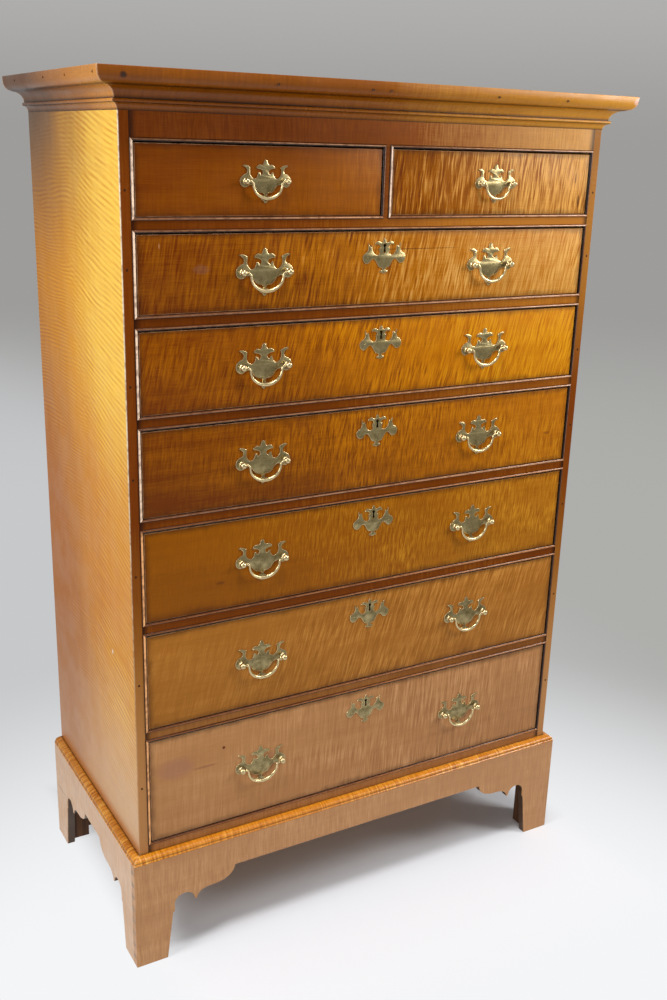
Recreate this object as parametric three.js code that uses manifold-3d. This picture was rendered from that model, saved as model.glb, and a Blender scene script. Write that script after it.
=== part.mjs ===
// Tall chest of drawers in figured maple: two small drawers over six wide, graduated ones,
// in one case on a bracket base, with pierced brass plates and swinging bails.
// Millimetres, +Z up. The origin is on the floor, at the centre of the whole outline seen from
// above. The front faces -Y.

import * as THREE from 'three';
import { mergeVertices } from 'three/addons/utils/BufferGeometryUtils.js';
import Module from 'manifold-3d';

const wasm = await Module();
wasm.setup();

// Case
const CASE_WIDTH = 914;
const CASE_DEPTH = 460;
const SIDE_THICK = 22;
const TOP_THICK = 20;
const BOTTOM_THICK = 20;
const BACK_THICK = 12;
const BACK_LIP = 10;
const BACK_BOARD_HEIGHT = 265;
const BACK_GROOVE = 3;
const FRIEZE_HEIGHT = 42.5;
const FRIEZE_THICK = 20;
const LOWER_RAIL_HEIGHT = 20.3;
const LOWER_RAIL_THICK = 22;

// Openings for the drawer rows, from the top row down, and the rails between them
const ROW_HEIGHTS = [106, 121, 132, 144, 157.5, 173.5, 198];
const RAIL_HEIGHT = 23.5;
const RAIL_DEPTH = 62;
const DIVIDER_WIDTH = 19;
const RUNNER_WIDTH = 20;
const RUNNER_LET_IN = 6;
const RUNNER_CLEARANCE = 5.5;
const GUIDE_HEIGHT = 26;

// Bead round every opening
const BEAD_WIDTH = 5.6;
const BEAD_RISE = 2.2;
const BEAD_ROOT = 6;
const CURVE_STEPS = 4;

// Base
const BASE_HEIGHT = 223;
const BASE_OVERHANG = 16;
const BASE_MOULD_HEIGHT = 11;
const CASE_SINK = 53;
const BLOCK_SIZE = 34;
const BLOCK_LIFT = 2;
const REAR_FOOT_WIDTH = 52;
const REAR_FOOT_HEIGHT = 60;
const REAR_CURVE_LENGTH = 98;
const REAR_STRAP_HEIGHT = 16;

// Lower edge of a bracket board, followed from the foot inwards and upwards: the leaning inner
// edge of the foot, a notch, a stilted arch, a pointed cusp, a cove and an ogee to the apron
const FOOT_WIDTH = 59.5;
const FOOT_LEAN = 11.5;
const FOOT_NOTCH_HEIGHT = 93;
const NOTCH_STEP = 3.5;
const ARCH_STILT = 13.5;
const ARCH_RADIUS = 19;
const ARCH_RISE = 17.5;
const CUSP_WIDTH = 4.5;
const CUSP_DROP = 2;
const COVE_LENGTH = 28.5;
const COVE_SPREAD = 3.5;
const COVE_RISE = 18;
const OGEE_LENGTH = 48.5;
const OGEE_SPREAD = 5;
const OGEE_RISE = 28;

// Cornice
const CORNICE_HEIGHT = 56;
const CORNICE_OVERHANG = 42;

// Drawers
const DRAWER_SIDE_GAP = 1.5;
const DRAWER_TOP_GAP = 1.7;
const DRAWER_RUN_GAP = 0.3;
const DRAWER_REAR_ROOM = 10;
const FRONT_THICK = 20;
const FRONT_LAP = 7;
const BOX_THICK = 12;
const BOX_DROP = 3;
const BOX_BOTTOM_THICK = 8;
const BOX_BOTTOM_LIFT = 8;
const BOX_GROOVE = 5;
const KEY_DROP = 23;
const KEY_RADIUS = 2.6;
const KEY_SLOT_WIDTH = 2.4;
const KEY_SLOT_LENGTH = 10;

// Brasses, as on the wide drawers, and how much smaller the set on the small drawers is
const PLATE_WIDTH = 100.8;
const PLATE_HEIGHT = 75.5;
const PLATE_THICK = 1.8;
const POST_SPACING_SHARE = 0.8056;
const POST_REACH = 11;
const BALL_RADIUS = 6;
const BALL_SIDES = 8;
const STEM_RADIUS = 2.6;
const STEM_SIDES = 6;
const BAIL_BEND = 6.1;
const BAIL_DROP = 29;
const BAIL_SIDES = 6;
const BAIL_STEPS = 5;
const BAIL_PIN_RADIUS = 1.5;
const BAIL_ARM_RADIUS = 2;
const BAIL_GRIP_RADIUS = 3.2;
const BAIL_ARM_SWELL_SHARE = 0.33;
const PIN_CLEARANCE = 0.3;
const SMALL_BRASS_SHARE = 0.865;

// Clearance between pieces that meet but aren't cut on one line, and how far a cut runs past
const FIT_GAP = 0.3;
const CUT_OVERRUN = 1;

// Heights and depths that follow from these
const HALF_WIDTH = CASE_WIDTH / 2;
const HALF_INSIDE = HALF_WIDTH - SIDE_THICK;
const HALF_FLAT = HALF_INSIDE + BEAD_WIDTH;
const CASE_FRONT = (CORNICE_OVERHANG - CASE_DEPTH) / 2;
const BACK_INSIDE = CASE_DEPTH - BACK_THICK;
const CASE_BOTTOM = BASE_HEIGHT - CASE_SINK;
const ROWS_BOTTOM = BASE_HEIGHT + LOWER_RAIL_HEIGHT;
const ROWS_TOP = ROWS_BOTTOM + ROW_HEIGHTS.reduce((sum, height) => sum + height, 0)
  + (ROW_HEIGHTS.length - 1) * RAIL_HEIGHT;
const CORNICE_BOTTOM = ROWS_TOP + FRIEZE_HEIGHT;
const TOTAL_HEIGHT = CORNICE_BOTTOM + CORNICE_HEIGHT;
const SIDE_TOP = TOTAL_HEIGHT - TOP_THICK;
const OUTER_HALF = HALF_WIDTH + BASE_OVERHANG;
const BASE_BOARD_TOP = BASE_HEIGHT - BASE_MOULD_HEIGHT;
const BORE_RADIUS = BAIL_PIN_RADIUS + PIN_CLEARANCE;

// Finishes
const maple = () => new THREE.MeshStandardMaterial({ color: 0xb4702c, roughness: 0.42, metalness: 0 });
const sideMaple = () => new THREE.MeshStandardMaterial({ color: 0xc98a3c, roughness: 0.42, metalness: 0 });
const innerWood = () => new THREE.MeshStandardMaterial({ color: 0xa98258, roughness: 0.8, metalness: 0 });
const agedBrass = () => new THREE.MeshStandardMaterial({ color: 0x9a8448, roughness: 0.38, metalness: 1 });

const chest = new THREE.Group();
// The case is drawn from its own front: x from the middle, y from the flat of the rails back.
const cabinet = new THREE.Group();
cabinet.position.y = CASE_FRONT;
chest.add(cabinet);

function place(parent, name, geometry, material) {
  const mesh = new THREE.Mesh(geometry, material);
  mesh.name = name;
  parent.add(mesh);
  return mesh;
}

// A closed solid, with the corners that its faces share merged
function solidOf(geometry) {
  const bare = geometry.clone();
  bare.deleteAttribute('normal');
  bare.deleteAttribute('uv');
  const merged = mergeVertices(bare);
  return new wasm.Manifold(new wasm.Mesh({
    numProp: 3,
    vertProperties: Float32Array.from(merged.attributes.position.array),
    triVerts: Uint32Array.from(merged.index.array),
  }));
}

function geometryOf(solid) {
  const { vertProperties, triVerts } = solid.getMesh();
  const geometry = new THREE.BufferGeometry();
  geometry.setAttribute('position', new THREE.BufferAttribute(vertProperties, 3));
  geometry.setIndex(new THREE.BufferAttribute(triVerts, 1));
  geometry.computeVertexNormals();
  return geometry;
}

function joined(pieces, cuts = []) {
  const whole = pieces.map(solidOf).reduce((all, piece) => all.add(piece));
  return geometryOf(cuts.map(solidOf).reduce((left, cut) => left.subtract(cut), whole));
}

const AXIS_Y = new THREE.Vector3(0, 1, 0);
const AXIS_Z = new THREE.Vector3(0, 0, 1);

// Straight prism over an outline. Every corner is put exactly where its values say, so pieces of
// one board that share a value meet face to face. corner gives a point from the outline's two
// values and the end that it lies at.
function prism(outline, corner) {
  const shape = new THREE.Shape(outline.map(([a, b]) => new THREE.Vector2(a, b)));
  const geometry = new THREE.ExtrudeGeometry(shape, { depth: 1, bevelEnabled: false });
  const { position } = geometry.attributes;
  for (let i = 0; i < position.count; i += 1) {
    position.setXYZ(i, ...corner(position.getX(i), position.getY(i), Math.round(position.getZ(i))));
  }
  return geometry;
}

const prismAlongX = (outlineYZ, ends) => prism(outlineYZ, (y, z, end) => [ends[end], y, z]);
const prismAlongY = (outlineXZ, ends) => prism(outlineXZ, (x, z, end) => [x, ends[1 - end], z]);
const prismAlongZ = (outlineXY, ends) => prism(outlineXY, (x, y, end) => [x, y, ends[end]]);

function box([x0, x1], [y0, y1], ends) {
  return prismAlongZ([[x0, y0], [x1, y0], [x1, y1], [x0, y1]], ends);
}

// A solid skinned over matching rings of points, closed at both ends with the section's faces.
function loft(rings, section) {
  const count = section.length;
  const positions = rings.flat().flatMap((point) => point.toArray());
  const index = [];
  for (let ring = 0; ring + 1 < rings.length; ring += 1) {
    for (let i = 0; i < count; i += 1) {
      const here = ring * count;
      const next = here + count;
      const j = (i + 1) % count;
      index.push(here + i, here + j, next + j, here + i, next + j, next + i);
    }
  }
  const last = (rings.length - 1) * count;
  THREE.ShapeUtils.triangulateShape(section, []).forEach(([a, b, c]) => {
    index.push(c, b, a, last + a, last + b, last + c);
  });
  if (signedVolume(positions, index) < 0) index.reverse();
  const geometry = new THREE.BufferGeometry();
  geometry.setAttribute('position', new THREE.Float32BufferAttribute(positions, 3));
  geometry.setIndex(index);
  geometry.computeVertexNormals();
  return geometry;
}

function signedVolume(positions, index) {
  const corner = (i) => new THREE.Vector3().fromArray(positions, 3 * index[i]);
  let total = 0;
  for (let i = 0; i < index.length; i += 3) {
    total += corner(i).dot(corner(i + 1).cross(corner(i + 2)));
  }
  return total;
}

// A section carried from mitre to mitre. Each station gives the corner that the section starts
// from, and the direction in which the section's first and second sizes are laid off there.
function mitredLength(section, stations) {
  const rings = stations.map(({ corner, out, up }) => section.map(({ x, y }) => (
    corner.clone().addScaledVector(out, x).addScaledVector(up, y))));
  return loft(rings, section);
}

// Openings of the rows, with the two small drawers side by side at the top
const openings = [];
const rails = [];
let level = ROWS_TOP;
ROW_HEIGHTS.forEach((height, row) => {
  const top = level;
  const bottom = level - height;
  const label = `row${row + 1}`;
  if (row === 0) {
    openings.push({ name: `${label}_left`, left: -HALF_INSIDE, right: -DIVIDER_WIDTH / 2, bottom, top, row });
    openings.push({ name: `${label}_right`, left: DIVIDER_WIDTH / 2, right: HALF_INSIDE, bottom, top, row });
  } else {
    openings.push({ name: label, left: -HALF_INSIDE, right: HALF_INSIDE, bottom, top, row });
  }
  if (row < ROW_HEIGHTS.length - 1) rails.push({ bottom: bottom - RAIL_HEIGHT, top: bottom, row });
  level = bottom - RAIL_HEIGHT;
});
const smallOpenings = openings.filter((opening) => opening.row === 0);

// Section of the bead: a half round that stands proud of the rails, on a square root
function beadSection() {
  const radius = BEAD_WIDTH / 2;
  const centre = radius - BEAD_RISE;
  const section = [new THREE.Vector2(0, BEAD_ROOT)];
  for (let step = 0; step <= CURVE_STEPS; step += 1) {
    const angle = (Math.PI * step) / CURVE_STEPS;
    section.push(new THREE.Vector2(radius - radius * Math.cos(angle), centre - radius * Math.sin(angle)));
  }
  section.push(new THREE.Vector2(BEAD_WIDTH, BEAD_ROOT));
  return section;
}

const bead = beadSection();

// One side of the bead frame round an opening, mitred to its neighbours
function beadStrip(opening, side) {
  const corners = [
    { x: opening.left, z: opening.bottom, dx: -1, dz: -1 },
    { x: opening.left, z: opening.top, dx: -1, dz: 1 },
    { x: opening.right, z: opening.top, dx: 1, dz: 1 },
    { x: opening.right, z: opening.bottom, dx: 1, dz: -1 },
  ];
  const first = ['left', 'top', 'right', 'bottom'].indexOf(side);
  const ends = [corners[first], corners[(first + 1) % corners.length]];
  return mitredLength(bead, ends.map(({ x, z, dx, dz }) => ({
    corner: new THREE.Vector3(x, 0, z),
    out: new THREE.Vector3(dx, 0, dz),
    up: AXIS_Y,
  })));
}

// Side boards: the front inner corner is cut back for the bead frames, and further back beside
// the frieze; the rear inner corner is rebated for the back. The runners are let in.
function sideBoard(sign) {
  const plan = (notchDepth) => [
    [HALF_WIDTH, 0], [HALF_WIDTH, CASE_DEPTH],
    [HALF_WIDTH - BACK_LIP, CASE_DEPTH], [HALF_WIDTH - BACK_LIP, BACK_INSIDE],
    [HALF_INSIDE, BACK_INSIDE], [HALF_INSIDE, notchDepth],
    [HALF_FLAT, notchDepth], [HALF_FLAT, 0],
  ].map(([x, y]) => [sign * x, y]);
  const span = (from, to) => [sign * from, sign * to].sort((a, b) => a - b);
  const runners = rails.map(({ top }) => box(
    span(HALF_INSIDE - RUNNER_WIDTH, HALF_INSIDE + RUNNER_LET_IN),
    [RAIL_DEPTH + FIT_GAP, BACK_INSIDE],
    [top - RAIL_HEIGHT + RUNNER_CLEARANCE, top],
  ));
  const side = sign < 0 ? 'left' : 'right';
  const beside = openings.filter((opening) => Math.abs(opening[side]) === HALF_INSIDE);
  return joined([
    prismAlongZ(plan(BEAD_ROOT), [CASE_BOTTOM, ROWS_TOP]),
    prismAlongZ(plan(FRIEZE_THICK), [ROWS_TOP, SIDE_TOP]),
    ...runners,
    ...beside.map((opening) => beadStrip(opening, side)),
  ]);
}

place(cabinet, 'left_side', sideBoard(-1), sideMaple());
place(cabinet, 'right_side', sideBoard(1), sideMaple());

// Top board over the sides, with the frieze rail glued under its front edge
place(cabinet, 'top_and_frieze', joined([
  box([-HALF_WIDTH, HALF_WIDTH], [0, CASE_DEPTH], [SIDE_TOP, TOTAL_HEIGHT]),
  box([-HALF_FLAT, HALF_FLAT], [0, FRIEZE_THICK], [ROWS_TOP + BEAD_WIDTH, SIDE_TOP]),
  box([-HALF_FLAT, HALF_FLAT], [BEAD_ROOT, FRIEZE_THICK], [ROWS_TOP, ROWS_TOP + BEAD_WIDTH]),
  ...smallOpenings.map((opening) => beadStrip(opening, 'top')),
]), maple());

// Bottom board between the sides, with the lower rail glued to its front edge
const lowest = openings[openings.length - 1];
place(cabinet, 'bottom_and_lower_rail', joined([
  box([-HALF_INSIDE, HALF_INSIDE], [LOWER_RAIL_THICK, BACK_INSIDE],
    [lowest.bottom - BOTTOM_THICK, lowest.bottom]),
  box([-HALF_INSIDE, HALF_INSIDE], [BEAD_ROOT, LOWER_RAIL_THICK], [CASE_BOTTOM, lowest.bottom]),
  box([-HALF_FLAT, HALF_FLAT], [0, BEAD_ROOT], [CASE_BOTTOM, lowest.bottom - BEAD_WIDTH]),
  beadStrip(lowest, 'bottom'),
]), maple());

// Back: lapped horizontal boards in the rebates, with a groove at each joint
function backBoards() {
  const half = HALF_WIDTH - BACK_LIP;
  const outline = [[BACK_INSIDE, CASE_BOTTOM], [CASE_DEPTH, CASE_BOTTOM]];
  const boards = Math.max(1, Math.round((SIDE_TOP - CASE_BOTTOM) / BACK_BOARD_HEIGHT));
  for (let i = 1; i < boards; i += 1) {
    const z = CASE_BOTTOM + (i * (SIDE_TOP - CASE_BOTTOM)) / boards;
    outline.push([CASE_DEPTH, z - BACK_GROOVE], [CASE_DEPTH - BACK_GROOVE, z], [CASE_DEPTH, z + BACK_GROOVE]);
  }
  outline.push([CASE_DEPTH, SIDE_TOP], [BACK_INSIDE, SIDE_TOP]);
  return prismAlongX(outline, [-half, half]);
}

place(cabinet, 'back_boards', backBoards(), innerWood());

// Rails between the rows: flat between two beads, each bead belonging to the opening it edges
rails.forEach(({ bottom, top, row }) => {
  const above = openings.filter((opening) => opening.row === row);
  const below = openings.filter((opening) => opening.row === row + 1);
  place(cabinet, `rail_${row + 1}`, joined([
    box([-HALF_INSIDE, HALF_INSIDE], [BEAD_ROOT, RAIL_DEPTH], [bottom, top]),
    box([-HALF_FLAT, HALF_FLAT], [0, BEAD_ROOT], [bottom + BEAD_WIDTH, top - BEAD_WIDTH]),
    ...above.map((opening) => beadStrip(opening, 'bottom')),
    ...below.map((opening) => beadStrip(opening, 'top')),
  ]), maple());
});

// Divider between the small drawers, with the centre runner and its guide behind it
const [smallLeft, smallRight] = smallOpenings;
place(cabinet, 'small_drawer_divider', joined([
  box([smallLeft.right, smallRight.left], [BEAD_ROOT, RAIL_DEPTH], [smallLeft.bottom, smallLeft.top]),
  box([smallLeft.right + BEAD_WIDTH, smallRight.left - BEAD_WIDTH], [0, BEAD_ROOT],
    [smallLeft.bottom - BEAD_WIDTH, smallLeft.top + BEAD_WIDTH]),
  box([smallLeft.right, smallRight.left], [RAIL_DEPTH - RUNNER_LET_IN, BACK_INSIDE],
    [smallLeft.bottom, smallLeft.bottom + GUIDE_HEIGHT]),
  box([smallLeft.right - RUNNER_WIDTH, smallRight.left + RUNNER_WIDTH], [RAIL_DEPTH + FIT_GAP, BACK_INSIDE],
    [smallLeft.bottom - RAIL_HEIGHT + RUNNER_CLEARANCE, smallLeft.bottom]),
  beadStrip(smallLeft, 'right'),
  beadStrip(smallRight, 'left'),
]), maple());

// Cornice: fascia rounding into an ovolo, a cavetto, and a small bead over a cove
const CORNICE_SHARES = [
  [0, 0], [0.03, 0.03], [0.125, 0.095], [0.22, 0.17], [0.25, 0.2], [0.22, 0.235], [0.155, 0.26],
  [0.19, 0.3], [0.25, 0.39], [0.36, 0.49], [0.52, 0.56], [0.7, 0.6], [0.83, 0.68], [0.93, 0.78],
  [0.985, 0.88], [1, 1], [0, 1],
];
const corniceSection = CORNICE_SHARES.map(([out, up]) => (
  new THREE.Vector2(out * CORNICE_OVERHANG, up * CORNICE_HEIGHT)));

// Corners of the case from the rear left, by the front, to the rear right
function casePath(z) {
  return [
    [-HALF_WIDTH, CASE_DEPTH, -1, 0], [-HALF_WIDTH, 0, -1, -1],
    [HALF_WIDTH, 0, 1, -1], [HALF_WIDTH, CASE_DEPTH, 1, 0],
  ].map(([x, y, dx, dy]) => ({
    corner: new THREE.Vector3(x, y, z),
    out: new THREE.Vector3(dx, dy, 0),
    up: AXIS_Z,
  }));
}

place(cabinet, 'cornice', mitredLength(corniceSection, casePath(CORNICE_BOTTOM)), maple());

// Base moulding along the top of the bracket boards: a small cove under a broad rounded top
const MOULD_SHARES = [
  [0, 0], [1, 0], [0.97, 0.2], [0.87, 0.42], [0.84, 0.55], [0.72, 0.78], [0.45, 0.94], [0.15, 1], [0, 1],
];
const mouldSection = MOULD_SHARES.map(([out, up]) => (
  new THREE.Vector2(out * BASE_OVERHANG, up * BASE_MOULD_HEIGHT)));
const mouldPath = casePath(BASE_BOARD_TOP);

// Lower edge of a bracket board from its outer corner to the straight of the apron
function bracketEdge() {
  const notch = FOOT_WIDTH + FOOT_LEAN;
  const arch = notch + NOTCH_STEP + ARCH_RADIUS;
  const spring = FOOT_NOTCH_HEIGHT + NOTCH_STEP + ARCH_STILT;
  const cusp = arch + ARCH_RADIUS + CUSP_WIDTH;
  const cove = cusp + COVE_LENGTH;
  const coveHeight = spring - CUSP_DROP + COVE_RISE;
  const end = cove + OGEE_LENGTH;
  const edge = new THREE.Path();
  edge.moveTo(0, 0);
  edge.lineTo(FOOT_WIDTH, 0);
  edge.lineTo(notch, FOOT_NOTCH_HEIGHT);
  edge.lineTo(notch + NOTCH_STEP, FOOT_NOTCH_HEIGHT + NOTCH_STEP);
  edge.absellipse(arch, spring, ARCH_RADIUS, ARCH_RISE, Math.PI, 0, true);
  edge.lineTo(cusp, spring - CUSP_DROP);
  edge.quadraticCurveTo(cusp + COVE_SPREAD, coveHeight, cove, coveHeight);
  edge.quadraticCurveTo(end - OGEE_SPREAD, coveHeight, end, coveHeight + OGEE_RISE);
  return edge.getPoints(CURVE_STEPS).map(({ x, y }) => [x, y]);
}

// Whole outline of a bracket board between two outer corners
function bracketBoard(from, to) {
  const edge = bracketEdge();
  const nearEdge = edge.map(([reach, z]) => [from + reach, z]);
  const farEdge = edge.map(([reach, z]) => [to - reach, z]).reverse();
  return [...nearEdge, ...farEdge, [to, BASE_BOARD_TOP], [from, BASE_BOARD_TOP]];
}

place(cabinet, 'base_front', joined([
  prismAlongY(bracketBoard(-OUTER_HALF, OUTER_HALF), [-BASE_OVERHANG, 0]),
  mitredLength(mouldSection, mouldPath.slice(1, 3)),
]), maple());

// Rear bracket, set across the back between the foot and the case
function rearBracket(sign) {
  const foot = HALF_WIDTH - REAR_FOOT_WIDTH;
  const tip = foot - REAR_CURVE_LENGTH;
  const strap = CASE_BOTTOM - REAR_STRAP_HEIGHT;
  const edge = new THREE.Path();
  edge.moveTo(HALF_WIDTH, 0);
  edge.lineTo(foot, 0);
  edge.lineTo(foot, REAR_FOOT_HEIGHT);
  edge.quadraticCurveTo(foot, strap, tip, strap);
  edge.lineTo(tip, CASE_BOTTOM);
  edge.lineTo(HALF_WIDTH, CASE_BOTTOM);
  const outline = edge.getPoints(CURVE_STEPS).map(({ x, y }) => [sign * x, y]);
  return prismAlongY(outline, [CASE_DEPTH - BASE_OVERHANG, CASE_DEPTH]);
}

// Side bracket boards behind the front one, each with its two glue blocks and the rear bracket
function baseSide(sign) {
  const span = (from, to) => [sign * from, sign * to].sort((a, b) => a - b);
  const board = prismAlongX(bracketBoard(-BASE_OVERHANG, CASE_DEPTH), span(HALF_WIDTH, OUTER_HALF));
  const frontBoard = box(span(HALF_WIDTH - CUT_OVERRUN, OUTER_HALF + CUT_OVERRUN),
    [-BASE_OVERHANG - CUT_OVERRUN, 0], [-CUT_OVERRUN, BASE_BOARD_TOP + CUT_OVERRUN]);
  const block = (y) => box(span(HALF_WIDTH - BLOCK_SIZE, HALF_WIDTH), [y, y + BLOCK_SIZE],
    [BLOCK_LIFT, CASE_BOTTOM]);
  return joined([
    joined([board], [frontBoard]),
    mitredLength(mouldSection, sign < 0 ? mouldPath.slice(0, 2) : mouldPath.slice(2, 4)),
    block(FIT_GAP),
    block(CASE_DEPTH - BASE_OVERHANG - BLOCK_SIZE),
    rearBracket(sign),
  ]);
}

place(cabinet, 'base_left', baseSide(-1), sideMaple());
place(cabinet, 'base_right', baseSide(1), sideMaple());

// Right half of the pierced plate's outline, from the top finial to the lower tip, as shares of
// half the plate's width and of half its height
const PLATE_OUTLINE_SHARES = [
  [0, 1], [0.083, 0.83], [0.139, 0.73], [0.32, 0.72], [0.367, 0.58], [0.16, 0.53], [0.123, 0.37],
  [0.189, 0.29], [0.288, 0.41], [0.347, 0.19], [0.437, 0.11], [0.605, 0.28], [0.59, 0.62], [0.883, 0.71],
  [0.738, 0.53], [0.742, 0.36], [0.942, 0.2], [1, 0], [0.942, -0.19], [0.774, -0.27], [0.575, -0.16],
  [0.397, -0.29], [0.238, -0.5], [0.064, -0.57], [0.064, -0.71], [0.168, -0.8],
];
const LOWER_TIP_SHARES = [0, -1];

// Where the posts stand out from the middle of a pull
const postPlace = (share) => (share * PLATE_WIDTH * POST_SPACING_SHARE) / 2;

// Back plate with its two ball posts, each bored across for the bail's pin
function pullPlate(share) {
  const half = [(share * PLATE_WIDTH) / 2, (share * PLATE_HEIGHT) / 2];
  const scaled = ([x, z]) => [x * half[0], z * half[1]];
  const right = PLATE_OUTLINE_SHARES.map(scaled);
  const left = right.slice(1).reverse().map(([x, z]) => [-x, z]);
  const plate = prismAlongY([...right, scaled(LOWER_TIP_SHARES), ...left], [-PLATE_THICK, 0]);
  const radius = share * BALL_RADIUS;
  const reach = share * POST_REACH;
  const rim = Math.sqrt(radius * radius - BORE_RADIUS * BORE_RADIUS);
  const haunch = radius * Math.SQRT1_2;
  const ring = [
    [BORE_RADIUS, -rim], [haunch, -haunch], [radius, 0],
    [haunch, haunch], [BORE_RADIUS, rim], [BORE_RADIUS, -rim],
  ].map(([out, along]) => new THREE.Vector2(out, along));
  const stemLength = reach - (BORE_RADIUS + radius) / 2;
  const posts = [-1, 1].flatMap((sign) => {
    const x = sign * postPlace(share);
    const stem = new THREE.CylinderGeometry(share * STEM_RADIUS, share * STEM_RADIUS, stemLength, STEM_SIDES);
    const ball = new THREE.LatheGeometry(ring, BALL_SIDES).rotateZ(-Math.PI / 2);
    return [stem.translate(x, -stemLength / 2, 0), ball.translate(x, -reach, 0)];
  });
  return joined([plate, ...posts]);
}

// Bail: pins across the posts, arms turned down, and a grip that swells to the middle.
// Each place on the right half has its distance out, its height and how far it has swollen.
function bailGeometry(share) {
  const radius = share * BALL_RADIUS;
  const bend = share * BAIL_BEND;
  const shoulder = postPlace(share) - radius - FIT_GAP;
  const arm = shoulder - bend;
  const grip = share * BAIL_DROP - bend;
  const pins = [[postPlace(share) + radius / 2, 0], [shoulder, 0]];
  const curve = [[shoulder - bend / 2, -bend / 4, BAIL_ARM_SWELL_SHARE]];
  for (let step = 0; step < BAIL_STEPS; step += 1) {
    const angle = (Math.PI / 2) * (step / BAIL_STEPS);
    const swell = BAIL_ARM_SWELL_SHARE + (1 - BAIL_ARM_SWELL_SHARE) * Math.sin(angle);
    curve.push([arm * Math.cos(angle), -bend - grip * Math.sin(angle), swell]);
  }
  const swollen = (swell) => share * (BAIL_ARM_RADIUS + (BAIL_GRIP_RADIUS - BAIL_ARM_RADIUS) * swell);
  const right = [
    ...pins.map(([x, z]) => ({ x, z, thick: BAIL_PIN_RADIUS })),
    ...curve.map(([x, z, swell]) => ({ x, z, thick: swollen(swell) })),
  ];
  const middle = { x: 0, z: -bend - grip, thick: swollen(1) };
  const left = right.map(({ x, z, thick }) => ({ x: -x, z, thick })).reverse();
  const places = [...right, middle, ...left];
  const section = [];
  for (let i = 0; i < BAIL_SIDES; i += 1) {
    const angle = (2 * Math.PI * i) / BAIL_SIDES;
    section.push(new THREE.Vector2(Math.cos(angle), Math.sin(angle)));
  }
  const rings = places.map(({ x, z, thick }, i) => {
    const before = places[Math.max(i - 1, 0)];
    const after = places[Math.min(i + 1, places.length - 1)];
    const along = new THREE.Vector3(after.x - before.x, 0, after.z - before.z).normalize();
    const across = along.clone().cross(AXIS_Y);
    return section.map((side) => new THREE.Vector3(x, 0, z)
      .addScaledVector(across, thick * side.x)
      .addScaledVector(AXIS_Y, thick * side.y));
  });
  return loft(rings, section);
}

// Keyhole through a drawer front: a round hole with a slot hanging from it
function keyhole(z) {
  const slot = KEY_SLOT_WIDTH / 2;
  const start = Math.asin(slot / KEY_RADIUS);
  const steps = 2 * CURVE_STEPS;
  const outline = [[-slot, z - KEY_SLOT_LENGTH], [slot, z - KEY_SLOT_LENGTH]];
  for (let step = 0; step <= steps; step += 1) {
    const angle = start - Math.PI / 2 + (2 * (Math.PI - start) * step) / steps;
    outline.push([KEY_RADIUS * Math.cos(angle), z + KEY_RADIUS * Math.sin(angle)]);
  }
  return prismAlongY(outline, [-CUT_OVERRUN, FRONT_THICK + CUT_OVERRUN]);
}

// Drawers: a flush front lapping the ends of the sides, over a box with a let-in bottom
openings.forEach((opening) => {
  const drawer = new THREE.Group();
  drawer.position.set((opening.left + opening.right) / 2, 0, opening.bottom + DRAWER_RUN_GAP);
  cabinet.add(drawer);
  const half = (opening.right - opening.left) / 2 - DRAWER_SIDE_GAP;
  const height = opening.top - opening.bottom - DRAWER_RUN_GAP - DRAWER_TOP_GAP;
  const length = BACK_INSIDE - DRAWER_REAR_ROOM;
  const inner = half - BOX_THICK;
  const wide = opening.row > 0;

  const plan = [
    [-half, 0], [half, 0], [half, FRONT_LAP], [inner, FRONT_LAP],
    [inner, FRONT_THICK], [-inner, FRONT_THICK], [-inner, FRONT_LAP], [-half, FRONT_LAP],
  ];
  const front = prismAlongZ(plan, [0, height]);
  place(drawer, `drawer_front_${opening.name}`,
    wide ? joined([front], [keyhole(height - KEY_DROP)]) : front, maple());

  const wallTop = height - BOX_DROP;
  const bottomTop = BOX_BOTTOM_LIFT + BOX_BOTTOM_THICK;
  const letIn = [-inner - BOX_GROOVE, inner + BOX_GROOVE];
  place(drawer, `drawer_box_${opening.name}`, joined([
    box([-half, -inner], [FRONT_LAP, length], [0, wallTop]),
    box([inner, half], [FRONT_LAP, length], [0, wallTop]),
    box(letIn, [length - BOX_THICK, length], [BOX_BOTTOM_LIFT, wallTop]),
    box(letIn, [FRONT_THICK, length - BOX_GROOVE], [BOX_BOTTOM_LIFT, bottomTop]),
  ]), innerWood());

  // The pulls of the wide drawers stand under the middles of the small drawers.
  const pullReach = (smallRight.left + smallRight.right) / 2;
  const pulls = wide ? [['_left', -pullReach], ['_right', pullReach]] : [['', 0]];
  const share = wide ? 1 : SMALL_BRASS_SHARE;
  pulls.forEach(([suffix, x]) => {
    const pull = new THREE.Group();
    pull.position.set(x, 0, height / 2);
    drawer.add(pull);
    place(pull, `pull_plate_${opening.name}${suffix}`, pullPlate(share), agedBrass());
    const bail = place(pull, `bail_${opening.name}${suffix}`, bailGeometry(share), agedBrass());
    bail.position.y = -share * POST_REACH;
  });
});

export default chest;
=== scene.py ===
from math import radians

import bpy
import numpy as np
from mathutils import Matrix, Vector
from mathutils.geometry import tessellate_polygon


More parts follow.
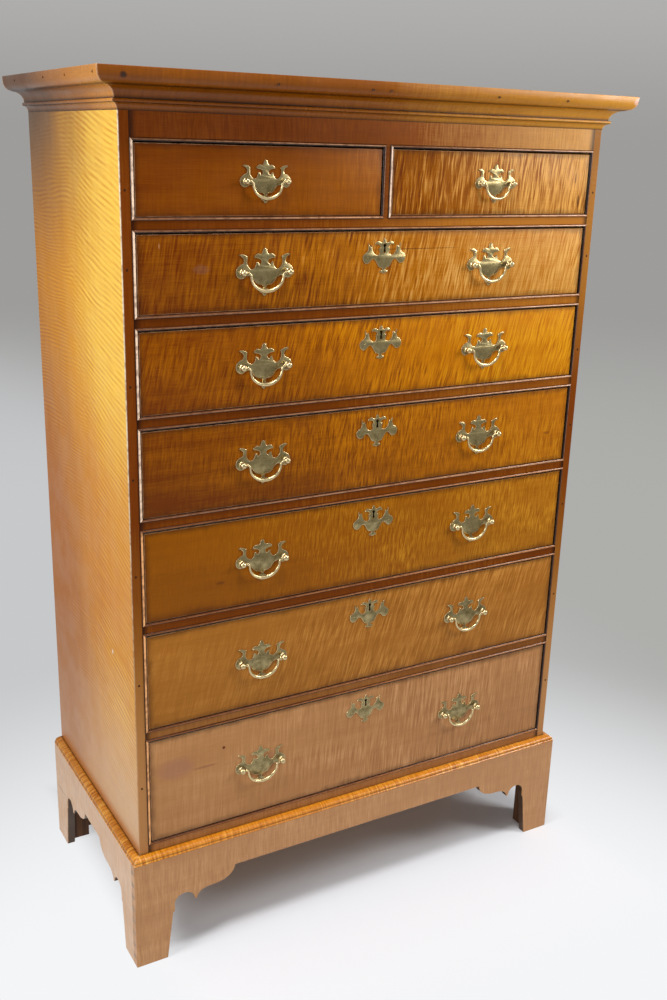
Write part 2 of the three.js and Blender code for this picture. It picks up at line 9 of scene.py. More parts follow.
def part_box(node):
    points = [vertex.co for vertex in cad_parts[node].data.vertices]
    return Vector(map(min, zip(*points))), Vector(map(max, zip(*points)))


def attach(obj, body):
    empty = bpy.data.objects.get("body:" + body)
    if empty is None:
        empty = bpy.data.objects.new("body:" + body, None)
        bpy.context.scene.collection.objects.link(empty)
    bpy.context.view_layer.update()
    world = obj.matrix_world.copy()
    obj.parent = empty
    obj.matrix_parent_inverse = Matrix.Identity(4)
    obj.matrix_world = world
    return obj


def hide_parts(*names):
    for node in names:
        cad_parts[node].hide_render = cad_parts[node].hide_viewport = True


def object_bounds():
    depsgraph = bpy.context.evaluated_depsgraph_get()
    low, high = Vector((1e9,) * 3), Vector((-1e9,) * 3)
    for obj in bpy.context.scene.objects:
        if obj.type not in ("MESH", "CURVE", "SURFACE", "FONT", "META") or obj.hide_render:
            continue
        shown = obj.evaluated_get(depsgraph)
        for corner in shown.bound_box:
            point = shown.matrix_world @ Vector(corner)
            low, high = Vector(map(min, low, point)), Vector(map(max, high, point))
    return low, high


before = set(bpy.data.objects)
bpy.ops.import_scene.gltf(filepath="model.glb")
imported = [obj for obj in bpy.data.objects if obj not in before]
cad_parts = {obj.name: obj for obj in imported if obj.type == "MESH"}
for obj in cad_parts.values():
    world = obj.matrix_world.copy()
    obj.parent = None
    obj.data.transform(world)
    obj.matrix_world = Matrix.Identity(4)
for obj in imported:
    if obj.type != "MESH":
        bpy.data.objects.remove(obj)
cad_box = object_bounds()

# The stand for looking at the chest: the camera at the height and angle of the photograph, a
# paper floor that glows evenly away from the chest and greys with distance, a grey room, and
# three soft boxes: at the left for the side board, at the right for the fronts, and high up.
CAMERA_PLACE = (-1.0126, -1.7897, 1.4220)
CAMERA_HEADING = -30.441
CAMERA_DIP = 17.960
CAMERA_ROLL = 1.707
scene = bpy.context.scene
scene.view_settings.view_transform = "Standard"


def stand(name, data):
    """A new object in the scene."""
    made = bpy.data.objects.new(name, data)
    scene.collection.objects.link(made)
    return made


camera = stand("camera", bpy.data.cameras.new("camera"))
camera.data.lens = 39.66
camera.data.sensor_width = 36
camera.data.clip_start = 0.05
camera.location = CAMERA_PLACE
camera_turns = ((CAMERA_HEADING, "Z"), (90 - CAMERA_DIP, "X"), (CAMERA_ROLL, "Z"))
heading, dip, roll = [Matrix.Rotation(radians(angle), 3, axis) for angle, axis in camera_turns]
camera.rotation_euler = (heading @ dip @ roll).to_euler()
scene.camera = camera


class Tone:
    """A value or colour that shader nodes work out. A plus, minus or times sign behind it adds
    the node for that step."""

    def __init__(self, socket):
        self.socket = socket

    def __add__(self, other):
        return calc("ADD", self, other)

    def __sub__(self, other):
        return calc("SUBTRACT", self, other)

    def __mul__(self, other):
        return calc("MULTIPLY", self, other)


def feed(made, inputs):
    """Sets a node's inputs to values, or links them to tones."""
    for key, value in inputs.items():
        if isinstance(value, Tone):
            made.id_data.links.new(value.socket, made.inputs[key])
        else:
            made.inputs[key].default_value = value


def node(kind, inputs, output=0, tree=None, **settings):
    """Adds a shader node beside the tones that it takes in, and gives one of its outputs."""
    tree = tree or next(value.socket.id_data for value in inputs.values() if isinstance(value, Tone))
    made = tree.nodes.new("ShaderNode" + kind)
    for name, value in settings.items():
        setattr(made, name, value)
    feed(made, inputs)
    return Tone(made.outputs[output])


def calc(operation, *values):
    """One step of arithmetic on tones and numbers."""
    return node("Math", dict(enumerate(values)), operation=operation)


def largest(first, *others):
    """The largest of several tones."""
    return calc("MAXIMUM", first, largest(*others)) if others else first


def ease(value, start, end, low=0.0, high=1.0):
    """Smooth step of a value: low up to the start, high from the end on."""
    return node("MapRange", {0: value, 1: start, 2: end, 3: low, 4: high}, interpolation_type="SMOOTHSTEP")


def measure(point, axis):
    """How far a point lies along one of the axes."""
    return node("SeparateXYZ", {0: point}, axis.upper())


def tint(red, green, blue):
    """Linear colour of an sRGB colour given from 0 to 255."""
    share = np.array([red, green, blue]) / 255
    linear = np.where(share <= 0.04045, share / 12.92, ((share + 0.055) / 1.055) ** 2.4)
    return (*linear.tolist(), 1.0)


def mixed(factor, *colours):
    """Colour between two colours, each a tone or red, green and blue from 0 to 255."""
    first, second = [tint(*colour) if isinstance(colour, tuple) else colour for colour in colours]
    return node("Mix", {"Factor": factor, 6: first, 7: second}, 2, data_type="RGBA")


def bare_material(name):
    """A material, its empty Principled surface, and the point in the object's own frame."""
    material = bpy.data.materials.new(name)
    material.use_nodes = True
    tree = material.node_tree
    return material, tree.nodes["Principled BSDF"], node("TexCoord", {}, "Object", tree)


def floor_mesh(radius, steps=48, sides=96):
    """Disc on a polar grid: the distance from the middle grows with the square of the ring's
    number, so that the rings are close where the chest stands."""
    reach = radius * np.linspace(0, 1, steps + 1) ** 2 + 0.02
    angle = np.linspace(0, 2 * np.pi, sides, endpoint=False)
    points = reach[:, None, None] * np.stack([np.cos(angle), np.sin(angle), 0 * angle], -1)
    index = np.arange(len(reach) * sides).reshape(len(reach), sides)
    after = np.roll(index, -1, 1)
    quads = np.stack([index[:-1], index[1:], after[1:], after[:-1]], -1).reshape(-1, 4)
    mesh = bpy.data.meshes.new("floor")
    mesh.from_pydata(points.reshape(-1, 3).tolist(), [], [*quads.tolist(), index[0].tolist()])
    return mesh


FLOOR_RADIUS = 14.0
FLOOR_PAPER = (238, 240, 244)
FLOOR_NEAR = (244, 245, 247)
BACKDROP_LEFT = (199, 200, 202)
BACKDROP_RIGHT = (174, 174, 171)
HORIZON = (157, 156, 154)
CEILING = (178, 177, 175)
ROOM_LIGHT = (140, 140, 141)
floor = stand("floor", floor_mesh(FLOOR_RADIUS))
material, shader, point = bare_material("floor_paper")
feed(shader, {"Base Color": tint(*FLOOR_PAPER), "Roughness": 0.9, "Specular IOR Level": 0.2})
x, y = measure(point, "x"), measure(point, "y")
away = node("VectorMath", {0: point, 1: (-0.3, -0.9, 0.0)}, "Value", operation="DISTANCE")
backdrop = mixed(ease(x, 0.3, 1.5), BACKDROP_LEFT, BACKDROP_RIGHT)
sweep = mixed(ease(away, 0.85, 1.95), FLOOR_NEAR, backdrop)
sweep = mixed(ease(away, 3.2, 9.5), sweep, HORIZON)
glow = node("Emission", {"Color": sweep, "Strength": 1.0})
beside = largest(ease(x, 0.46, 0.56), ease(x, -0.34, -0.47))
lit = largest(beside, ease(y, 0.27, 0.45), ease(y, -0.28, -0.62))
surface = node("MixShader", {0: lit, 1: Tone(shader.outputs[0]), 2: glow})
feed(material.node_tree.nodes["Material Output"], {"Surface": surface})
floor.data.materials.append(material)

world = bpy.data.worlds.new("room")
world.use_nodes = True
tree = world.node_tree
height = measure(node("TexCoord", {}, "Generated", tree), "z")
rays = [node("LightPath", {}, f"Is {kind} Ray", tree) for kind in ("Camera", "Glossy", "Transmission")]
seen = mixed(largest(*rays), ROOM_LIGHT, mixed(ease(height, 0.0, 0.14), HORIZON, CEILING))
feed(tree.nodes["Background"], {"Color": seen})
scene.world = world


def soft_box(name, place, target, size, watts):
    """Lamp with a rectangular face turned towards its target."""
    lamp = bpy.data.lights.new(name, "AREA")
    lamp.shape = "RECTANGLE"
    lamp.size, lamp.size_y = size
    lamp.energy = watts
    made = stand(name, lamp)
    made.location = place
    made.rotation_euler = (Vector(target) - Vector(place)).to_track_quat("-Z", "Y").to_euler()


soft_box("left_box", (-2.3, -0.55, 1.85), (-0.45, -0.15, 0.95), (0.8, 1.4), 36)
soft_box("right_box", (1.65, -1.30, 1.80), (0.25, -0.2, 1.15), (0.7, 0.9), 27.5)
soft_box("high_box", (-0.15, -0.9, 3.3), (-0.1, -0.6, 0.0), (0.6, 0.5), 38)

# The two side boards of the case, each one wide board of figured maple with its grain upright.
# The long front corner is eased, the front inner corner is cut back for the beads and the frieze,
# and the rear inner corner is rebated for the back. Six pine runners a side carry the drawers.
ROWS = ["row1_left", "row1_right"] + [f"row{number}" for number in range(2, 8)]
SIDE_GAP = 0.0015
TOP_GAP = 0.0017
RUN_GAP = 0.0003

openings = {}  # left, right, bottom and top of the hole that each drawer fills
for row in ROWS:
    low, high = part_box(f"drawer_front_{row}")
    openings[row] = (low.x - SIDE_GAP, high.x + SIDE_GAP, low.z - RUN_GAP, high.z + TOP_GAP)

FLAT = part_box("drawer_front_row2")[0].y
CASE_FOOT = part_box("right_side")[0].z
HALF_CASE, BACK, SIDE_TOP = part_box("right_side")[1]
HALF_INSIDE = openings["row2"][1]
BACK_INSIDE = BACK - 0.012
BACK_LIP = 0.010
BEAD_WIDTH = 0.0056
BEAD_ROOT = 0.006
HALF_FLAT = HALF_INSIDE + BEAD_WIDTH
FRIEZE_THICK = 0.020
ROWS_TOP = openings["row1_left"][3]
CORNER_ROUND = 0.0024
RAIL_DEPTH = 0.062
RUNNER_WIDTH = 0.020
RUNNER_HEIGHT = 0.018
POINT = 0.00005


def skin(rings):
    """Closed surface through matching rings of points: quads from each ring to the next, and a
    flat face over the first and the last ring."""
    rings = np.asarray(rings, float)
    count, sides = rings.shape[:2]
    index = np.arange(count * sides).reshape(count, sides)
    low, high = index[:-1], index[1:]
    quads = np.stack([low, np.roll(low, -1, 1), np.roll(high, -1, 1), high], -1).reshape(-1, 4)
    caps = [index[0, ::-1], index[-1]]
    fans = [np.stack([np.full(sides - 2, cap[0]), cap[1:-1], cap[2:]], -1) for cap in caps]
    points = rings.reshape(-1, 3)
    corner = points[np.concatenate([quads[:, :3], quads[:, [0, 2, 3]], *fans])]
    volume = np.einsum("ij,ij->", corner[:, 0], np.cross(corner[:, 1], corner[:, 2]))
    faces = quads.tolist() + [cap.tolist() for cap in caps]
    return points, faces if volume > 0 else [face[::-1] for face in faces]


def copies(outline, axis, places):
    """Rings: an outline in the plane across an axis, set at each of the places along it."""
    return np.array([np.insert(np.asarray(outline, float), axis, place, axis=1) for place in places])


def board(outline, axis, ends):
    """Straight board: an outline in the plane across an axis, carried along it to its ends."""
    return skin(copies(outline, axis, ends))


def rectangle(x0, y0, x1, y1):
    """Outline through four corners."""
    return np.array([(x0, y0), (x1, y0), (x1, y1), (x0, y1)])


def block(low, high):
    """Sawn piece between two opposite corners."""
    return board(rectangle(*low[:2], *high[:2]), 2, (low[2], high[2]))


def turned(profile, centre, axis=1, sign=-1, sides=20):
    """Turned form: a profile of (radius, reach) spun about a line along an axis."""
    radius, reach = np.asarray(profile, float).T
    angle = np.linspace(0, 2 * np.pi, sides, endpoint=False)
    flat = radius[:, None, None] * np.stack([np.cos(angle), np.sin(angle)], -1)
    return skin(np.insert(flat, axis, (sign * reach)[:, None], axis=2) + np.asarray(centre))


def arc(centre, radii, start, end, steps=6):
    """Points on an ellipse's arc, by even steps of the angle in degrees."""
    angle = np.radians(np.linspace(start, end, steps + 1))
    return np.add(centre, np.multiply(radii, np.stack([np.cos(angle), np.sin(angle)], -1)))


def piece(name, solids, material, body="case", slot="front_maple", replaces=(), soften=0.0, fold=30, **point_values):
    """One object from several solids: curved parts shaded smooth up to a fold angle, and the
    square edges eased by a bevel of the given radius. Painted shade, grime, rubbing, polish and
    painted highlights are given from point to point of the mesh, or for one ring of it, which
    then repeats."""
    starts = np.cumsum([0] + [len(points) for points, _ in solids])
    faces = [[start + i for i in face] for start, (_, part) in zip(starts.tolist(), solids) for face in part]
    mesh = bpy.data.meshes.new(name)
    mesh.from_pydata(np.concatenate([points for points, _ in solids]).tolist(), [], faces)
    for label, values in point_values.items():
        layer = mesh.attributes.new(label, "FLOAT", "POINT")
        layer.data.foreach_set("value", np.resize(values, len(mesh.vertices)))
    mesh.shade_smooth()
    mesh.set_sharp_from_angle(angle=radians(fold))
    mesh.materials.append(material)
    made = stand(name, mesh)
    if soften:
        bevel = made.modifiers.new("eased_edges", "BEVEL")
        bevel.width = soften
        bevel.segments = 2
        bevel.limit_method = "ANGLE"
        bevel.angle_limit = radians(fold)
        bevel.harden_normals = True
    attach(made, body)
    if replaces:
        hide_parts(*replaces)


def along(cut, grain, across, thick):
    """Sizes on the three axes, of which the cut names the one of the grain and of the face."""
    return [{cut[0]: grain, cut[1]: thick}.get(axis, across) for axis in "xyz"]


def field(point, sizes, seed, detail=2.0, turn=(0, 0, 0), output=0):
    """Noise whose lumps have the given sizes, after the point is turned and shifted by the seed."""
    shift = (seed * 1.37, seed * 2.11, seed * 0.73)
    sizes = np.resize(sizes, 3).tolist()
    inputs = {"Vector": point, "Location": shift, "Rotation": turn, "Scale": sizes}
    placed = node("Mapping", inputs, vector_type="TEXTURE")
    return node("TexNoise", {"Vector": placed, "Scale": 1.0, "Detail": detail, "Roughness": 0.55}, output)


CURL_DRIFT = 0.004


def curly_figure(point, cut, period, run, lean, seed):
    """Curl of figured maple, from -0.7 to 0.7: noise squeezed to its period along the grain and
    drawn out to its run across it, after the point is bent a little, and finer noise on top."""
    slow = field(point, run, seed + 3.1, 1.0, output=1)
    bent = node("VectorMath", {0: slow, 1: [CURL_DRIFT] * 3, 2: point}, operation="MULTIPLY_ADD")
    turn = along(cut, 0.0, 0.0, lean)
    broad = field(bent, along(cut, period, run, run), seed, 1.0, turn)
    fine = field(bent, along(cut, period * 0.45, run * 0.5, run), seed + 7.0, 1.0, turn)
    return ease(broad, 0.26, 0.74, -0.5, 0.5) + ease(fine, 0.26, 0.74, -0.4, 0.4)


def ripples(point, period, lean, wander, seed):
    """Even curl of a side board, from -0.6 to 0.6: a sine wave up the grain that leans across it
    and wanders with slow noise, and whose strength comes and goes in patches."""
    travel = measure(point, "y") * lean + measure(point, "z")
    travel = field(point, (0.2, 0.30, 0.12), seed) * wander + travel
    patches = field(point, (0.1, 0.06, 0.025), seed + 8.0)
    return calc("SINE", travel * (2 * np.pi / period)) * ease(patches, 0.34, 0.64, 0.12, 0.6)


def grain_bands(point, cut, growth, seed):
    """Tone of plain grain round 0.5: growth bands drawn out along the grain, soft clouds of
    darker and lighter wood, and fine pores."""
    bands = field(point, along(cut, 0.7, 0.016, 0.05), seed + 5.3, 3.0)
    clouds = field(point, along(cut, 0.17, 0.07, 0.07), seed + 1.7)
    pores = field(point, along(cut, 0.03, 0.0008, 0.0008), seed + 9.1, 1.0)
    tone = bands * (1.2 * growth) + clouds * (1.8 * growth) + pores * 0.2
    return tone + (0.4 - 1.5 * growth), clouds, pores


def ramped(tone, shades, start=0.1, end=0.9):
    """Colour for a tone, between two or three shades set evenly from the start to the end."""
    ramp = node("ValToRGB", {0: tone})
    stops = ramp.socket.node.color_ramp.elements
    stops[0].position, stops[1].position = start, end
    stops[0].color, stops[1].color = tint(*shades[0]), tint(*shades[-1])
    if len(shades) == 3:
        stops.new((start + end) / 2).color = tint(*shades[1])
    return ramp


def bumped(height, depth, strength=0.5):
    """Relief whose height stands up by the depth."""
    return node("Bump", {"Strength": strength, "Distance": depth, "Height": height})


def laid_on(shader, label):
    """Grime, rubbing, polish, painted shade and painted highlights that a mesh holds from point to
    point, and zero on a mesh that has none.
    """
    return node("Attribute", {}, "Fac", shader.id_data, attribute_name=label)


# Near-black for painted shade in creases, in quirks and at the feet of beads, and for grime in the joints.
SHADE_AND_GRIME = (26, 10, 4)
# Pale colour for rubbing at the moulding ends and for painted highlights on edges and corners.
WEAR_AND_HIGHLIGHT = (244, 192, 146)


def varnished(shader, point, colour, relief, shine, gloss, depth, seed, worn=WEAR_AND_HIGHLIGHT):
    """Old varnish over a wood colour. Painted shade and grime lie where the surface's values for
    them say, the colour of rubbing and painted highlights shows where its values for those say,
    the gloss is duller in patches, and the relief stands in the surface."""
    patchy = ease(field(point, 0.012, seed + 4.0, 3.0), 0.34, 0.58, 0.45, 1.0)
    colour = mixed(laid_on(shader, "rubbed") * patchy, colour, worn)
    dull = field(point, 0.05, seed + 6.4, 3.0)
    feed(shader, {"Base Color": mixed(laid_on(shader, "dirt"), colour, SHADE_AND_GRIME),
                  "Roughness": ease(dull, 0.3, 0.7, gloss, gloss + 0.14),
                  "Specular IOR Level": shine, "Normal": bumped(relief, depth)})


def maple(name, tones, cut="xy", curl=0.4, period=0.004, run=0.045, lean=0.0, growth=0.14, seed=0.0,
          shine=0.5, gloss=0.3, depth=0.0003, fades=(), curl_fade=None, marks=None, worn=WEAR_AND_HIGHLIGHT):
    """Figured maple under old varnish: curl whose strength comes and goes in patches, laid over
    plain grain; their sum and the slow fades along the axes, which mostly paint light and shade
    across the piece, pick the colour between the tones."""
    material, shader, point = bare_material(name)
    tone, clouds, pores = grain_bands(point, cut, growth, seed)
    figure = curly_figure(point, cut, period, run, lean, seed) * ease(clouds, 0.36, 0.6, 0.45 * curl, curl)
    if curl_fade:
        figure = figure * ease(measure(point, "x"), *curl_fade)
    tone = tone + figure
    for axis, *steps in fades:
        tone = tone + ease(measure(point, axis), *steps)
    colour = ramped(tone, tones)
    if marks:
        colour = marks(point, colour)
    varnished(shader, point, colour, pores * 0.2 + figure, shine, gloss, depth, seed, worn)
    return material


def plain_wood(name, tones, cut="yz", seed=0.0, band=0.014):
    """Unfinished pine: growth bands and fine pores drawn out along the grain, and dust in
    patches, with the late wood standing a little high."""
    material, shader, point = bare_material(name)
    bands = field(point, along(cut, 0.8, band, band), seed, 3.0)
    pores = field(point, along(cut, 0.05, 0.0012, 0.0012), seed + 2.0, 1.0)
    dust = field(point, 0.08, seed + 4.0, 3.0)
    tone = ease(bands, 0.35, 0.65) * 0.5 + pores * 0.35 + dust * 0.3 - 0.08
    feed(shader, {"Base Color": ramped(tone, tones, 0.15, 0.85), "Roughness": 0.72,
                  "Specular IOR Level": 0.3, "Normal": bumped(tone, 0.0004)})
    return material


def spot(point, colour, centre, radii, shade, strength=1.0):
    """Mark of another colour, such as a knot or a scuff: full in the middle of an ellipsoid and
    gone at its skin, which is a little ragged."""
    placed = node("Mapping", {"Vector": point, "Location": centre, "Scale": radii}, vector_type="TEXTURE")
    reach = node("VectorMath", {0: placed}, "Value", operation="LENGTH")
    ragged = field(placed, 0.5, centre[2] * 9.0) * 0.6 + reach
    return mixed(ease(ragged, 0.7, 1.2, strength, 0.0), colour, shade)


SIDE_TONES = ((166, 96, 18), (214, 144, 26), (248, 200, 78))
STILE_TONES = ((70, 26, 0), (116, 52, 0), (160, 102, 30))
# The stile's paler lower part is a painted reflection of the pale floor.
STILE_FLOOR_REFLECTION = (184, 132, 84)
# Painted highlight along the rounded front corner, stronger higher up; the right board gets a fifth of it.
CORNER_HIGHLIGHT = (255, 240, 206)
CORNER_LEVELS = ((CASE_FOOT, 0.05), (0.60, 0.25), (0.95, 0.8), (SIDE_TOP, 0.9))
# Painted shade: grey over the top of the board's rear, under the cornice.
CORNICE_SHADE = (92, 72, 56)
# Painted reflection of the pale floor: the board paler low down.
FLOOR_REFLECTION = (206, 170, 138)
AMBER = (196, 112, 6)
STAINED = (180, 104, 30)
SIDE_SCUFF = (0.0, -0.103, 0.571)


def side_board_maple(name, seed):
    """One board with two kinds of figure: fine level ripples behind, and in front curls that fall
    towards the front edge. The varnish is amber in the middle and dark on the front edge and just
    above the base. Painted light makes the board lighter towards the front and higher up and lights
    the top of the right stile, a painted reflection of the floor makes it paler near the floor, and
    painted shade makes it grey under the cornice."""
    material, shader, point = bare_material(name)
    x, y, z = [measure(point, axis) for axis in "xyz"]
    tone, clouds, pores = grain_bands(point, "zx", 0.08, seed)
    depth = field(point, (0.1, 0.1, 0.25), seed + 2.0) * 0.12 + y
    streaks = curly_figure(point, "zx", 0.0040, 0.12, 0.25, seed)
    falling = streaks * 0.5 + ripples(point, 0.0096, -0.27, 0.035, seed)
    level = ripples(point, 0.0066, 0.03, 0.04, seed + 20.0)
    figure = falling * ease(depth, 0.0, 0.12, 0.30, 0.03) + level * ease(depth, 0.02, 0.12, 0.02, 0.20)
    # Painted light: the top of the right stile lighter, the stile lighter low down with its painted floor
    # reflection, and the board lighter towards the front and higher up.
    sunlit = ease(x, 0.0, 0.1, 0.0, 0.42) * ease(z, 0.95, 1.25)
    stile = ramped(tone + ease(z, 0.40, 0.9, 0.4, 0.0) + sunlit, STILE_TONES)
    stile = mixed(ease(z, 0.30, 0.70, 0.75, 0.0), stile, STILE_FLOOR_REFLECTION)
    tone = tone + figure + ease(depth, -0.12, 0.30, 0.29, -0.28) + ease(z, 0.62, 1.15, -0.24, 0.04)
    amber = ease(z, 0.45, 0.68, 0.0, 0.5) * ease(z, 0.80, 1.08, 1.0, 0.0)
    colour = ramped(tone, SIDE_TONES)
    # In turn: painted shade under the cornice, amber varnish, painted floor reflection, a stain above the
    # base, and the stile.
    for share, shade in (
        (ease(z, 1.16, 1.50) * ease(depth, -0.14, 0.30), CORNICE_SHADE),
        (amber * ease(depth, -0.08, 0.18, 1.0, 0.25), AMBER),
        (ease(z, 0.24, 0.60, 0.75, 0.0) * ease(depth, -0.1, 0.26, 1.0, 0.4), FLOOR_REFLECTION),
        (ease(z, 0.224, 0.256, 0.8, 0.0), STAINED),
        (ease(y, FLAT + 0.0008, FLAT + 0.0022, 1.0, 0.0), stile),
    ):
        colour = mixed(share, colour, shade)
    colour = spot(point, colour, SIDE_SCUFF, (2.0, 0.005, 0.007), (236, 222, 204), 0.9)
    varnished(shader, point, colour, pores * 0.2 + figure, 0.3, 0.34, 0.0005, seed, CORNER_HIGHLIGHT)
    feed(shader, {"Specular IOR Level": ease(y, FLAT + 0.0002, FLAT + 0.0012, 0.08, 0.3)})
    return material


PINE = ((128, 88, 52), (188, 146, 98))
PIN_WOOD = ((40, 16, 4), (64, 32, 12), (104, 60, 24))
PIN_HEAD = 0.0021
PIN_SHIFTS = (-0.015, 0.008, -0.018, -0.005, 0.006, 0.0, 0.012)
runner_wood = plain_wood("runner_pine", PINE, seed=2.0)
corner_heights, corner_highlight = np.transpose(CORNER_LEVELS)
for sign, side in ((-1, "left"), (1, "right")):
    bend = arc((HALF_CASE - CORNER_ROUND, FLAT + CORNER_ROUND), (CORNER_ROUND, CORNER_ROUND), -90, 0)
    plan = np.array([
        (HALF_FLAT, FLAT), bend[0] - (0.0004, 0), *bend, bend[-1] + (0, 0.0012), (HALF_CASE, BACK),
        (HALF_CASE - BACK_LIP, BACK), (HALF_CASE - BACK_LIP, BACK_INSIDE), (HALF_INSIDE, BACK_INSIDE),
        (HALF_INSIDE, FLAT + FRIEZE_THICK), (HALF_FLAT, FLAT + FRIEZE_THICK),
    ])
    behind_beads = rectangle(HALF_INSIDE, FLAT + BEAD_ROOT, HALF_FLAT, FLAT + FRIEZE_THICK)
    # Painted highlight on the rounded front corner.
    on_corner = np.zeros(len(plan))
    on_corner[2:2 + len(bend)] = np.sin(np.linspace(0, np.pi, len(bend))) ** 2
    rubbed = np.outer(corner_highlight, on_corner).ravel() * (1.0 if side == "left" else 0.2)
    piece(f"{side}_side_board", [
        board(plan * (sign, 1), 2, corner_heights),
        board(behind_beads * (sign, 1), 2, (CASE_FOOT, ROWS_TOP)),
    ], side_board_maple(f"{side}_side_maple", 11.0 + sign), slot="side_maple", replaces=[f"{side}_side"],
        fold=35, rubbed=np.append(rubbed, np.zeros(2 * len(behind_beads))))
    piece(f"{side}_runners", [
        block((sign * (HALF_INSIDE - RUNNER_WIDTH), FLAT + RAIL_DEPTH + RUN_GAP, bottom - RUNNER_HEIGHT),
              (sign * HALF_INSIDE, BACK_INSIDE, bottom))
        for _, _, bottom, _ in [openings[row] for row in ROWS[1:-1]]
    ], runner_wood, slot="secondary_wood", soften=0.0006)
pin_profile = [(PIN_HEAD, -0.0015), (PIN_HEAD, 0.0), (0.7 * PIN_HEAD, 0.0002), (POINT, 0.0003)]
pin_levels = [(openings[row][2] + openings[row][3]) / 2 + shift for row, shift in zip(ROWS[1:], PIN_SHIFTS)]
piece("stile_pins", [turned(pin_profile, (sign * (HALF_FLAT + HALF_CASE) / 2, FLAT, z), sides=12)
                     for sign in (-1, 1) for z in pin_levels],
      maple("pin_maple", PIN_WOOD, "yz", curl=0.0, seed=14.0, shine=0.1))

# Half-round beads of maple round all eight openings, four strips each, mitred at the corners and
# let in flush behind. They stand a little proud of the rails, and the drawers shut inside them.
BEAD_RISE = 0.0022
BEAD_TONES = ((54, 22, 2), (96, 46, 8), (146, 86, 30))
# Painted highlights on the beads: near-white on the upper rows and orange on the lower ones, in a thin line
# along each crown, brightest on the level beads towards the right, and in a broad band on the left upright
# beads.
LEVEL_HIGHLIGHT = {"high": (246, 188, 140), "low": (236, 158, 92)}
UPRIGHT_HIGHLIGHT = {"high": (255, 222, 192), "low": (244, 176, 112)}
BEAD_STEPS = 10
bead_turn = np.radians(np.linspace(180, 360, BEAD_STEPS + 1))
# Values along a bead's section, foot to foot: painted shade, dark at both feet and, on some strips, further
# up one side of the dome; and painted highlights, a thin one on the crown and a broad one.
bead_ring = np.array([1.0, *np.clip(1.25 * np.abs(np.cos(bead_turn)) ** 3 - 0.25, 0, 1), 1.0])
deep_shade_ring = np.maximum(bead_ring, [1.0, 1.0, 1.0, 1.0, 0.95, 0.7, 0.2, *[0.0] * 5, 1.0])
left_upright_shade_ring = np.array([1.0, 0.5, *[0.0] * 6, 0.4, 0.9, 1.0, 1.0, 1.0])
rubbed_ring = np.array([0.0, *np.sin(-bead_turn) ** 20, 0.0])
broad_highlight_ring = np.array([0.0, *np.clip(1.3 * np.sin(-bead_turn - 0.35), 0, 1) ** 6, 0.0])


def bead_strip(*ends):
    """One mitred strip: the bead's section laid off from each end's corner, outwards along the
    corner's diagonal and forward from the flat."""
    radius = BEAD_WIDTH / 2
    dome = arc((radius, radius - BEAD_RISE), (radius, radius), 180, 360, BEAD_STEPS)
    out, back = np.array([(0, BEAD_ROOT), *dome, (BEAD_WIDTH, BEAD_ROOT)]).T
    return skin([np.stack([x + dx * out, FLAT + back, z + dz * out], -1) for x, z, dx, dz in ends])


for order, (row, (left, right, bottom, top)) in enumerate(openings.items()):
    corners = [(left, bottom, -1, -1), (left, top, -1, 1), (right, top, 1, 1), (right, bottom, 1, -1)]
    height = "low" if row in ROWS[5:] else "high"
    # Each bead strip carries painted shade and painted highlights from point to point; the level beads are
    # also painted lighter towards the right.
    piece(f"upright_beads_{row}", [bead_strip(*corners[:2]), bead_strip(*corners[2:])],
          maple(f"upright_bead_{row}", BEAD_TONES, "zx", curl=0.1, seed=20.0 + order, shine=0.3,
                gloss=0.16, depth=0.00005, worn=UPRIGHT_HIGHLIGHT[height]),
          dirt=np.repeat([left_upright_shade_ring, deep_shade_ring], 2, 0),
          rubbed=np.repeat([broad_highlight_ring, 0.15 * rubbed_ring], 2, 0))
    piece(f"level_beads_{row}", [bead_strip(*corners[1:3]), bead_strip(corners[3], corners[0])],
          maple(f"level_bead_{row}", BEAD_TONES, "xy", curl=0.1, seed=30.0 + order, shine=0.35,
                gloss=0.14, depth=0.00005, fades=[("x", -0.3, 0.4, -0.1, 0.2)], worn=LEVEL_HIGHLIGHT[height]),
          dirt=np.repeat([deep_shade_ring, bead_ring], 2, 0),
          rubbed=np.outer((0.25, 0.9, 0.9, 0.25), rubbed_ring))

# Everything that joins the sides: six maple rails between the rows, dovetailed into the sides,
# the frieze rail under the top, the lower rail, the divider of the small drawers with its centre
# runner, and the top and bottom boards, of which the bottom one is pine.
RAIL_TONES = ((72, 26, 0), (118, 56, 0), (172, 106, 28))
LOW_RAIL_TONES = ((88, 42, 8), (134, 80, 30), (170, 114, 60))
# What is added to each rail's tone at its left and right end: on the upper rails this is painted light,
# lighter towards the right as on the fronts.
RAIL_ENDS = ((-0.10, 0.46), (-0.14, 0.30), (-0.14, 0.16), (-0.06, 0.0), (0.0, -0.05), (0.14, -0.06))
FRIEZE_TONES = ((94, 36, 0), (144, 74, 4), (212, 152, 74))
TOP_TONES = ((120, 70, 28), (164, 108, 52), (198, 144, 84))
LOWER_RAIL_TONES = ((116, 66, 26), (166, 108, 56), (206, 148, 92))
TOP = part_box("top_and_frieze")[1].z
BOTTOM_THICK = 0.020
LOWER_RAIL_THICK = 0.022
GUIDE_HEIGHT = 0.026
JOINT_DIRT_WIDTH = 0.014


def rail_ends(point, colour):
    """Dirt in the joints, where the rails run into the sides."""
    for end in (-1, 1):
        start = end * (HALF_FLAT - JOINT_DIRT_WIDTH)
        colour = mixed(ease(measure(point, "x"), start, end * HALF_FLAT, 0.0, 0.85), colour, SHADE_AND_GRIME)
    return colour


